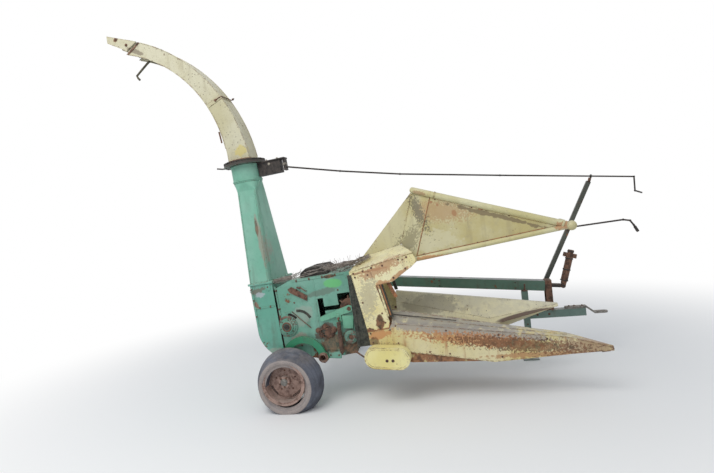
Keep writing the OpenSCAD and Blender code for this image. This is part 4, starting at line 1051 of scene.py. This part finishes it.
plate_bolts += [(385, -788, 98), (465, -788, 88), (-53, -771, 780), (-51, -771, 600), (154, -778, 758),
                (236, -778, 672)]
plate_bolts += [(x, PLATE_Y, z) for x, z in ((110, 640), (110, 220), (270, 160), (560, 700))]
bolts("near_plate_bolts", [(*spot, NEAR) for spot in plate_bolts], 0.9)

# %% [markdown]
# ## Bearings on the near side
# Each bearing is held by a ring of bolts, and the cutterhead's has a raised dust ring and a grease nipple.

# %% Bearing trim
dust_ring = lathe([(33, 0), (46, 0), (48, 3), (46, 7), (40, 9), (33, 7), (33, 0)], (5, -802, 423), NEAR, 40)
flange_ring = lathe([(82, 0), (100, 0), (102, 3), (99, 8), (88, 11), (82, 11), (82, 0)], (5, PLATE_Y, 423),
                    NEAR, 48)
settle(flange_ring, "cutter_bearing_flange", "chassis", "green_rust")
nipple = lathe([(0, 12), (3, 11), (3, 7), (5, 6), (5, 0), (0, 0)], (44, -780, 486), NEAR, 12)
settle(join([dust_ring, nipple]), "cutter_bearing_ring", "chassis", "old_rust")
ring_bolts = [(x, -780, z, NEAR) for x, z in circle(5, 423, 69, range(15, 375, 60))]
ring_bolts += [(x, -790, z, NEAR) for x, z in circle(614, 247, 38, range(45, 405, 90))]
bolts("near_bearing_bolts", ring_bolts, 0.75)

# %% [markdown]
# ## Rear housing and pipe foot
# Housing and pipe meet at two bolted flanges. Two folded stiffeners and a corner gusset stand on the housing.

# %% Housing trim
flange_bolts = [(x, -787, 886, UP) for x in (-290, -232, -174, -116)]
flange_bolts += [(x, -231, 886, UP) for x in (-290, -232, -174, -116)]
flange_bolts += [(x, y, 886, UP) for x in (-309, -82) for y in (-700, -590, -480, -370)]
bolts("pipe_flange_bolts", flange_bolts, 0.55)
housing = [
    strip([(-292, 858), (-292, 470)], 16, -780, -786),
    strip([(-292, 640), (-90, 640)], 14, -780, -785),
    sheet([(-150, 858), (-96, 858), (-100, 800), (-128, 790), (-150, 820)], -780, -786, 2),
]
settle(join(housing), "housing_stiffeners", "chassis", "housing_green")
HOUSING_BOLTS = [(-292, 830), (-292, 720), (-292, 560), (-123, 832), (-240, 640), (-130, 640)]
bolts("housing_bolts", [(x, -786, z, NEAR) for x, z in HOUSING_BOLTS], 0.8)

# %% [markdown]
# ## Pipe seams
# The pipe is folded from two halves. Narrow standing seams run up its front, its back and the near side's
# corners, and flat hoops hold the round neck. Two rings of bolts hold the turntable and the spout's foot.

# %% Pipe seams and hoops
PIPE = (-200, -600)
seams = [bar([(-98, -700, 890), (-90, -690, 1785), (-62, -640, 1878)], 5, 1),
         bar([(-302, -700, 890), (-280, -690, 1785), (-330, -640, 1878)], 5, 1),
         bar([(-290, -781, 890), (-268, -723, 1788)], 4, 1),
         bar([(-112, -781, 890), (-100, -723, 1788)], 4, 1)]
for z in (1890, 2036):
    seams.append(lathe([(141, 0), (147, 1), (148, 7), (147, 13), (141, 14), (141, 0)], (*PIPE, z), UP, 56))
settle(join(seams), "pipe_seams", "chassis", "pipe_green")
bolts("turntable_bolts", [(x, y, 2050, UNDER) for x, y in circle(*PIPE, 188, range(30, 360, 30))], 0.8)
bolts("spout_foot_bolts", [(x, y, 2096.3, UP) for x, y in circle(*PIPE, 173, range(0, 360, 45))], 0.7,
      body="spout_head")
bolts("worm_box_bolts", [(66, -640, 2012, NEAR), (218, -630, 1984, NEAR), (150, -620, 2050, UP),
                         (40, -620, 2050, UP)], 1.5, finish="pale_steel")
stub = bar([(-398, -600, 2060), (-450, -600, 2066), (-505, -600, 2080)], 7, 2)
settle(stub, "turntable_stub", "chassis", "black_steel")

# %% [markdown]
# ## Black top cover
# The rubbery black cover over the rear of the feed rolls is edged with a bead and strapped down.

# %% Cover edges
COVER_NEAR, COVER_FAR = -700, -300
profile = [(194, 868), (207, 906), (261, 938), (399, 940), (453, 901), (462, 868)]
edges = [bar([(x, y, z) for x, z in profile], 6, 1) for y in (COVER_NEAR, COVER_FAR)]
edges += [bar([(x, COVER_NEAR + (COVER_FAR - COVER_NEAR) * t, z) for t in (0, 0.25, 0.5, 0.75, 1)], 5, 1)
          for x, z in ((261, 939), (399, 941))]
settle(join(edges), "top_cover_beads", "chassis", "cover_rubber")
strap_line = [(x - 2, z) for x, z in profile[:3]]
strap_line += [(261, 944), (399, 946), (459, 904), (470, 868), (462, 868), (453, 901), (399, 941), (261, 939),
               (207, 907), (194, 868)]
straps = [sheet(strap_line, y, y + 22) for y in (-640, -400)]
settle(join(straps), "top_cover_straps", "chassis", "black_steel")

# %% [markdown]
# ## Dry stems on the covers
# Stalks and leaves have dried where they fell: in the dip between the black cover and the row head, behind
# the cover, and in a tangle along the near edge. Each stem is a thin bar with one or two kinks, laid by a
# seeded random hand, so that every run gives the same heap. First comes the lie of the covers.

# %% The lie of the covers
def cover_height(x):
    """The height of the covers' top over x."""
    if x < 105:
        return 798 + (x + 64) * 0.367
    if 186 < x < 470:
        return 942
    return 860 if x < 715 else 862 + (x - 715) * 0.5


EDGE = [(-330, -762, 790), (-205, -770, 836), (100, -772, 872), (300, -770, 884), (520, -770, 902),
        (740, -774, 915), (900, -700, 945)]


def along_edge(t):
    """The point at the share t of the edge line."""
    t = min(max(t, 0), 0.9999) * (len(EDGE) - 1)
    i = int(t)
    return Vector(EDGE[i]).lerp(Vector(EDGE[i + 1]), t - i)


print("stems lie at", cover_height(600), "mm and along", len(EDGE), "points")

# %% [markdown]
# ## The heap
# The first loop strews stems over the covers, the second tangles them along the edge, and the third stands
# a few on end there. The stretch in the middle of the edge stays thin.

# %% Stems
OVER_COVERS, ALONG_EDGE, ON_END = 90, 190, 16
straw = random.Random(11)
stems = []
for k in range(OVER_COVERS):
    x = straw.uniform(480, 735) if k % 3 else straw.uniform(-60, 180)
    y = straw.uniform(-752, -300)
    reach, turn = straw.uniform(60, 190), straw.uniform(0, math.pi)
    lift, rise = straw.uniform(2, 44), straw.uniform(-0.18, 0.30)
    points = []
    for j in range(4):
        t = (j / 3 - 0.5) * reach
        px = min(max(x + math.cos(turn) * t, -58), 742)
        py = min(max(y + math.sin(turn) * t + straw.uniform(-5, 5), -764), -250)
        height = cover_height(x) + lift + rise * t + straw.uniform(-3, 3)
        points.append((px, py, max(cover_height(px) + 2, height)))
    stems.append(bar(points, straw.uniform(1.1, 2.8), 0))
for k in range(ALONG_EDGE):
    t = straw.random()
    if 0.38 < t < 0.66 and k % 7:
        t = straw.uniform(0.67, 0.92) if k % 3 else straw.uniform(0.0, 0.36)
    reach = straw.uniform(0.05, 0.16)
    lift, side = straw.uniform(-8, 34), straw.uniform(-6, 90)
    points = []
    for j in range(4):
        here = along_edge(t + (j / 3 - 0.5) * reach)
        points.append((here.x, here.y + side + straw.uniform(-9, 9), here.z + lift + straw.uniform(-8, 8)))
    stems.append(bar(points, straw.uniform(1.2, 3.4), 0))
for k in range(ON_END):
    here = along_edge(straw.uniform(0.55, 0.9)) + Vector((0, straw.uniform(0, 60), 10))
    tip = here + Vector((straw.uniform(-25, 25), straw.uniform(-12, 12), straw.uniform(40, 85)))
    stems.append(bar([tuple(here), tuple(tip)], straw.uniform(1.0, 1.8), 0))
settle(join(stems), "dry_stems", "chassis", "dry_straw", LEANING, 60)

# %% [markdown]
# ## Row head
# The head's box is bolted through its top flange and posts. Orange primer shows along the foot of the post
# and on two of the bars under the box, and a bracket reaches from the box to the gathering frame.

# %% Head bolts, lines and bracket
box_bolts = [(x, -865, z, NEAR) for x, z in ((933, 864), (1037, 870), (1190, 901), (1265, 911), (760, 838),
                                             (850, 846), (1120, 745), (1240, 812))]
box_bolts += [(x, -155, z, FAR) for x, z in ((933, 864), (1037, 870), (1190, 901), (1265, 911), (1120, 745))]
bolts("head_box_bolts", box_bolts, 1.0)
post_bolts = [(x, -865, z, NEAR) for x, z in ((770, 800), (890, 806), (975, 352), (822, 318), (960, 440),
                                              (800, 560))]
post_bolts += [(x, -155, z, FAR) for x, z in ((770, 800), (890, 806), (975, 352), (822, 318))]
bolts("head_post_bolts", post_bolts, 0.9)
edge_beads = [bar([(724, -867, 857), (1331, -867, 942)], 4, 1),
              bar([(1331, -867, 942), (1348, -867, 858), (1290, -867, 817), (1190, -867, 762),
                   (1105, -867, 714), (946, -867, 702)], 3, 1),
              bar([(724, -153, 857), (1331, -153, 942)], 4, 1)]
settle(join(edge_beads), "head_box_beads", "chassis", "head_yellow")
primer = [bar([(798, -866, 288), (1001, -866, 300)], 5, 1), bar([(1001, -866, 300), (1016, -866, 350)], 4, 1)]
settle(join(primer), "post_foot_bead", "chassis", "orange_rust")
settle(sheet([(1040, 724), (1074, 716), (1124, 572), (1106, 560), (1088, 572)], -845, -838, 1),
       "head_side_bracket", "chassis", "orange_rust")
bars_front = [strip([(940, 700), (988, 400)], 26, -861, -864),
              strip([(990, 700), (1036, 410)], 12, -861, -864)]
settle(join(bars_front), "head_bar_faces", "chassis", "orange_rust")
settle(strip([(967, 700), (1013, 404)], 16, -861, -864), "head_bar_pale_face", "chassis",
       "head_yellow")

# %% [markdown]
# ## Funnel hood
# Round tubes carry each of the hood's panels along its upper and its lower edge. A bead marks each weld, two
# collars stand on the upper tube, and a row of bolts runs along each tube.

# %% Hood tubes, beads, collars and bolts
ROW_Y = -510
HOOD_BOLTS = [(1420, 906), (1660, 917), (1900, 929), (2150, 941), (1600, 1372), (1900, 1243), (2200, 1116)]


def across(points, side):
    """points as they are for the near side, or mirrored over the row's middle for the far side."""
    return [(x, y if side < 0 else 2 * ROW_Y - y, z) for x, y, z in points]


for label, side in SIDES:
    hood = [bar(across([(1200, -516, 1022), (1380, -516, 1470)], side), 6, 1)]
    tubes = [bar(across([(1566, -780, 1424), (2650, -780, 961)], side), 29.2, 5),
             bar(across([(1391, -534, 1501), (1566, -780, 1424)], side), 29.2, 5),
             bar(across([(1352, -780, 872.4), (2650, -780, 942)], side), 23.2, 5)]
    settle(join(tubes), label + "_hood_tubes", "chassis", "tube_yellow_painted_highlight")
    welds = [bar(across([(1352, -783, 896), (1440, -783, 1112), (1556, -783, 1394)], side), 4, 1),
             bar(across([(1360, -783, 899), (1900, -783, 928), (2480, -783, 959)], side), 4, 1),
             bar(across([(1640, -783, 1364), (2100, -783, 1167), (2560, -783, 970)], side), 3, 1)]
    settle(join(welds), label + "_hood_weld_lines", "chassis", "orange_rust")
    tube_top, tube_end = (Vector(p) for p in across([(1566, -780, 1424), (2690, -780, 944)], side))
    way = tube_end - tube_top
    front_collar = [(28, -9), (33, -8), (34, 0), (33, 8), (28, 9), (28, -9)]
    rear_collar = [(28, -7), (32, -6), (32, 6), (28, 7), (28, -7)]
    hood += [lathe(front_collar, tube_top + way * 0.94, way, 28),
             lathe(rear_collar, tube_top + way * 0.03, way, 28)]
    settle(join(hood), label + "_hood_beads", "chassis", "hood_yellow")
    spots = across([(x, -782, z) for x, z in HOOD_BOLTS], side)
    bolts(label + "_hood_bolts", [(*spot, (0, side, 0)) for spot in spots], 0.7)

# %% [markdown]
# ## Snouts
# The near snout's sheet has a folded edge along its top and foot, a few large rivets and a wire loop at its
# tip. The far snout has a lip along its top and foot.

# %% Snout edges, rivets and loop
SIDE_TOP = [(1030, 338), (1450, 250), (1870, 160), (2200, 90), (2500, 24), (2832, -98)]
SIDE_LOW = [(1030, 92), (1450, -10), (1870, -114), (2500, -118), (2832, -122)]


def on_snout(run):
    """A run of (x, z) on the near snout's side, which bends outward towards its tip."""
    return [(x, -866 - max(0, (x - 2500) * 0.055), z) for x, z in run]


lips = [bar(on_snout(SIDE_TOP), 3.5, 1),
        bar(on_snout(SIDE_LOW), 4.5, 1),
        bar([(1030, -792, 391), (1870, -792, 183), (2500, -820, 35)], 3.5, 1)]
settle(join(lips), "near_snout_edges", "chassis", "snout_yellow")
loop = bar([(2700, -872, -78), (2716, -874, -88), (2772, -878, -76), (2823, -882, -98), (2834, -884, -112),
            (2800, -882, -126), (2740, -878, -128)], 4.5, 2)
settle(loop, "near_snout_loop", "chassis", "old_rust")
RIVETS = [(1004, 280), (1327, 37), (1060, 310), (1060, 150), (1500, 210), (1500, 0), (1940, 118), (1940, -80),
          (2330, 30), (820, 270), (830, 185)]
bolts("snout_rivets", [(x, -864.3, z, NEAR) for x, z in RIVETS], 0.9)
# A black bar along the near snout's top: painted shade of the gap there.
gap_shade = bar([(1034, -779, 404), (1300, -779, 341), (1600, -779, 268)], 4, 1)
settle(gap_shade, "snout_top_painted_shade", "chassis", "black_steel")
far_lips = [bar([(1018, -330, 441), (1890, -390, 161), (2550, -200, 169)], 4, 1),
            bar([(1018, -382, 330), (1890, -402, 95), (2550, -206, 151)], 4, 1)]
settle(join(far_lips), "far_snout_edges", "chassis", "far_snout_yellow_painted_light")

# %% [markdown]
# ## Gearcase cover
# The round-ended cover is pressed, with two rim lines, and shows two dark plugs low on its face. A short
# lever comes out behind it.

# %% Cover rims, plugs and lever
TURN = math.radians(9)


def on_cover(u, v, y):
    """A point of the tilted cover, u along it and v across it."""
    return (955 + u * math.cos(TURN) + v * math.sin(TURN), y, 54 - u * math.sin(TURN) + v * math.cos(TURN))


def stadium(r, y):
    """A long round-ended loop on the cover."""
    ends = circle(108, 0, r, range(-90, 100, 10)) + circle(-108, 0, r, range(90, 280, 10))
    return [on_cover(u, v, y) for u, v in ends]


rims = [bar(stadium(93, -985), 4, 1, True), bar(stadium(78, -985), 3, 1, True)]
settle(join(rims), "gearcase_rims", "chassis", "head_yellow")
plugs = [lathe([(0, 1), (9, 1), (10, 2.5), (13, 2.5), (14, 0), (0, 0)], (x, -985, z), NEAR, 20)
         for x, z in ((951, 36), (1004, 30))]
settle(join(plugs), "gearcase_plugs", "chassis", "old_rust")
lever = bar([(655, -900, 140), (690, -900, 108), (729, -900, 73), (800, -900, 62), (852, -900, 62)], 8, 2)
settle(lever, "gearcase_lever", "chassis", "old_rust")

# %% [markdown]
# ## Spout
# The spout is a welded box. Its walls are joined by rolled lips, a strap clasps the seam between foot and
# spout, a latch hangs on the side and a hooked handle hangs from the open end, by which the spout was
# pulled down and tied.

# %% Spout lips, strap, latch and handle
OUT_C, IN_C = Vector((-1719.96, 1990.79)), Vector((-1633.75, 2147.66))


def on_arc(middle, radius, angle):
    return middle + Vector((math.cos(math.radians(angle)), math.sin(math.radians(angle)))) * radius


def on_outer(angle):
    return on_arc(OUT_C, 1630, angle)


def on_inner(angle):
    return on_arc(IN_C, 1315, angle)


lips = []
for y in (-705, -495):
    lips.append(bar([(on_inner(a).x, y, on_inner(a).y) for a in range(4, 72, 3)], 5, 1))
    lips.append(bar([(on_outer(a).x, y, on_outer(a).y) for a in range(5, 67, 3)], 4, 1))
settle(join(lips), "spout_side_lips", "spout_head", "spout_cream")
seam_low, seam_high = on_inner(24), on_outer(27.5)
seam = [tuple(seam_low), tuple(seam_high)]
strap = [strip(seam, 36, -705, -710), strip(seam, 36, -490, -495)]
outward = (seam_high - seam_low).normalized()
side_way = Vector((-outward.y, outward.x)) * 18
band = [seam_high - side_way, seam_high + side_way, seam_high + side_way + outward * 5,
        seam_high - side_way + outward * 5]
strap.append(sheet([tuple(p) for p in band], -710, -490))
settle(join(strap), "spout_seam_strap", "spout_head", "spout_cream")
clasp = [bar([(-336, -713, 2722), (-284, -713, 2741), (-266, -704, 2748), (-263, -600, 2749),
              (-263, -496, 2749), (-254, -486, 2752)], 5, 1),
         lathe([(0, 12), (9, 12), (12, 8), (13, 0), (0, 0)], (-336, -710, 2722), NEAR, 12),
         lathe([(0, 26), (6, 26), (6, 16), (11, 15), (11, 6), (6, 5), (6, 0), (0, 0)], (-256, -494, 2751),
               (0.9, 0.1, 0.4), 12)]
settle(join(clasp), "spout_clasp", "spout_head", "old_rust")
end_edge = [strip([tuple(on_outer(65.4)), tuple(on_inner(70.2))], 17, y, y + t)
            for y, t in ((-705, -5), (-495, 5))]
settle(join(end_edge), "spout_end_edge", "spout_head", "old_rust")
latch = [sheet([(-368, 2413), (-352, 2413), (-344, 2301), (-358, 2298)], -705, -711, 1),
         bar([(-356, -716, 2396), (-352, -716, 2330)], 3.5, 1)]
settle(join(latch), "spout_latch", "spout_head", "old_rust")
handle = [bar([(-1017, -704, 3312), (-1017, -496, 3312)], 6, 1),
          bar([(-1017, -600, 3312), (-1060, -600, 3289), (-1130, -600, 3243), (-1199, -600, 3197),
               (-1190, -600, 3170), (-1174, -600, 3149)], 11, 2)]
settle(join(handle), "spout_pull_handle", "spout_head", "olive_steel")
bolts("flap_pivot_bolts", [(-1181, -721, 3478.9, NEAR), (-1181, -479, 3478.9, FAR),
                           (-1290, -715, 3560, NEAR)], 1.1, body="flap")
FLAP_LINE = [(-1380, 3617), (-1384, 3547), (-1223, 3447), (-1197, 3417), (-1069, 3487)]
flap_edge = [bar([(x, y, z) for x, z in FLAP_LINE], 3, 1) for y in (-713, -487)]
settle(join(flap_edge), "flap_edges", "flap", "spout_cream")

# %% [markdown]
# ## Drive shaft shield and drawbar
# The shield is a folded channel with rolled lower edges, carried by straps. Three bolts hold the hitch strap,
# and three more stand in the drawbar's side. The jack has its crank and a cap.

# %% Shield lips, straps and drawbar bolts
SHIELD_SLOPE = math.tan(math.radians(6.3))


def shield_top(x):
    """The height of the sloping shield's top over x."""
    return 500 + (2505 - x) * SHIELD_SLOPE


shield = [bar([(x, y, shield_top(x) - 103) for x in (534, 1200, 1850, 2496)], 4, 1) for y in (285, 415)]
shield += [sheet([(x - 12, shield_top(x) - 8), (x + 12, shield_top(x) - 11), (x + 12, shield_top(x) - 101),
                  (x - 12, shield_top(x) - 98)], y, y + t, 1)
           for x in (640, 1395, 2200) for y, t in ((285, -6), (415, 6))]
settle(join(shield), "shield_lips", "chassis", "shield_green", LEVEL)
bolts("shield_bolts", [(x, 279, shield_top(x) - d, NEAR) for x in (640, 1395, 2200) for d in (26, 84)]
      + [(x, 421, shield_top(x) - d, FAR) for x in (640, 1395, 2200) for d in (26, 84)], 0.8, LEVEL)
bolts("drawbar_bolts", [(x, 350, 198.3, UP) for x in (2730, 2783, 2862)]
      + [(x, 300, 140, NEAR) for x in (2520, 2400, 900)], 1.3, LEVEL)
welds = [bar([(2505, 284, 181), (2572, 284, 181)], 4, 1), bar([(2573, 286, 182), (2573, 414, 182)], 4, 1),
         bar([(2253, 299, 100), (2253, 299, 180)], 4, 1), bar([(2317, 299, 100), (2317, 299, 180)], 4, 1)]
settle(join(welds), "drawbar_welds", "chassis", "frame_green", LEVEL)
jack_trim = [bar([(2285, 262, 412), (2285, 262, 436), (2285, 200, 440), (2285, 200, 500)], 8, 2),
             lathe([(0, 10), (30, 10), (36, 6), (36, 0), (0, 0)], (2285, 268, 412), UP, 4),
             bar([(2285, 228, 60), (2285, 298, 60)], 7, 2)]
settle(join(jack_trim), "jack_crank", "chassis", "old_rust", LEVEL)

# %% [markdown]
# ## Folded half shaft
# The half shaft has a cross joint at its lower end, three collars along it and a ring at its yoke. All are
# turned.

# %% Joint and collar
JOINT = Vector((2692, 350, 427.3))
FOLD = math.radians(73)
WAY = Vector((math.cos(FOLD), 0, math.sin(FOLD)))
half_shaft = [lathe([(36, 0), (41, 2), (41, 12), (36, 14), (36, 0)], JOINT + WAY * h, WAY, 32)
              for h in (52, 170, 290)]
half_shaft += [lathe([(30, 0), (34, 2), (34, 16), (30, 18), (30, 0)], JOINT + WAY * 364, WAY, 32)]
half_shaft += [lathe([(0, 5), (12, 5), (14, 2), (14, 0), (0, 0)], JOINT + Vector((0, y, 0)), (0, y, 0), 20)
               for y in (-36, 36)]
settle(join(half_shaft), "half_shaft_collars", "pto_shaft", "black_steel", LEVEL)

# %% [markdown]
# ## Mast, rod and lever
# A sprung clip holds the crank rod to the mast, and the shift lever's grip is ringed.

# %% Clip, grip and mast bolts
grip_top, grip_low = Vector((3450, 406, 998)), Vector((3485, 406, 928))
grip_way = grip_low - grip_top
grip = [lathe([(13, -2), (15.5, -1.5), (15.5, 1.5), (13, 2), (13, -2)], grip_top + grip_way * t, grip_way, 20)
        for t in (0.3, 0.42, 0.54, 0.66, 0.78, 0.88)]
settle(join(grip), "lever_grip_rings", "chassis", "cover_rubber", LEVEL)
clip = [strip([(3055, 1494), (3071, 1538)], 30, 412, 415), strip([(2500, 440), (2520, 480)], 52, 412, 415)]
settle(join(clip), "mast_clips", "chassis", "old_rust", LEVEL)
bolts("mast_bolts", [(2508, 412, 452, NEAR), (2520, 412, 482, NEAR), (3060, 412, 1508, NEAR)], 0.8, LEVEL)

# %% [markdown]
# ## Far side
# The side away from the camera has the same kind of detail: folded stiffeners on the plate, a rolled bead
# round the chain guard, bearing covers and ribs on the gearbox.

# %% Far side stiffeners, guard and gearbox
far_side = [strip([(120, 170), (128, 330)], 18, -234, -226), strip([(560, 845), (552, 640)], 18, -234, -226),
            sheet([(674, 828), (697, 828), (674, 122), (651, 128)], -234, -226, 2),
            sheet([(150, 130), (640, 110), (640, 96), (150, 112)], -234, -226, 1)]
settle(join(far_side), "far_plate_stiffeners", "chassis", "chopper_green")
guard_way = math.degrees(math.atan2(663 - 423, 477 - 5))
guard_ends = circle(5, 423, 104, [guard_way + k for k in range(90, 271, 12)])
guard_ends += circle(477, 663, 104, [guard_way + k for k in range(-90, 91, 12)])
guard_edge = [(x, -152, z) for x, z in guard_ends]
settle(bar(guard_edge, 5, 1, True), "drive_guard_bead", "chassis", "frame_green")
bolts("far_side_bolts", [(x, -152, z, FAR) for x, z in ((5, 423), (477, 663), (180, 512), (320, 583))]
      + [(x, -226, z, FAR) for x, z in ((686, 800), (676, 500), (665, 200), (220, 118), (560, 106))], 1.0)
gearbox = [lathe([(0, 22), (34, 22), (38, 16), (62, 14), (66, 8), (66, 0), (0, 0)], (430, 430, 695), FAR, 40),
           lathe([(0, 20), (38, 20), (42, 14), (60, 12), (64, 6), (64, 0), (0, 0)], (530, 350, 690), FRONT, 40),
           lathe([(0, 14), (14, 14), (18, 8), (18, 0), (0, 0)], (380, 330, 790), UP, 6)]
gearbox += [sheet([(x - 5, 606), (x + 5, 606), (x + 5, 784), (x - 5, 784)], 270, 258, 2)
            for x in (346, 386, 474, 514)]
settle(join(gearbox), "gearbox_covers", "chassis", "frame_green", LEVEL)
bolts("gearbox_bolts", [(x, 443, z, FAR) for x, z in circle(430, 695, 52, range(0, 360, 60))]
      + [(x, y, 790, UP) for x in (350, 510) for y in (290, 410)], 0.9, LEVEL)

# %% [markdown]
# ## Axle ends
# The axle tube's ends are open and have rusted thin. A clamp ring with bolts holds each cranked arm.

# %% Axle tube ends and clamps
for label, side in SIDES:
    out = (0, side, 0)
    ends = [lathe([(30, 0), (36, 0), (37.5, 2), (37, 5), (30, 5), (30, 0)], (323, side * 852, 95), out, 40),
            lathe([(37, 0), (47, 0), (49, 3), (47, 8), (37, 8), (37, 0)], (323, side * 832, 95), out, 40)]
    settle(join(ends), label + "_axle_end", "chassis", "dusty_rust")
    arm_bolts = [(x, side * 840, z, out) for x, z in circle(323, 95, 43, (40, 160, 280))]
    bolts(label + "_arm_bolts", arm_bolts, 0.7)
bpy.data.objects.remove(pattern_bolt)
print("in all", tally)

# %% End
print("all pieces made")
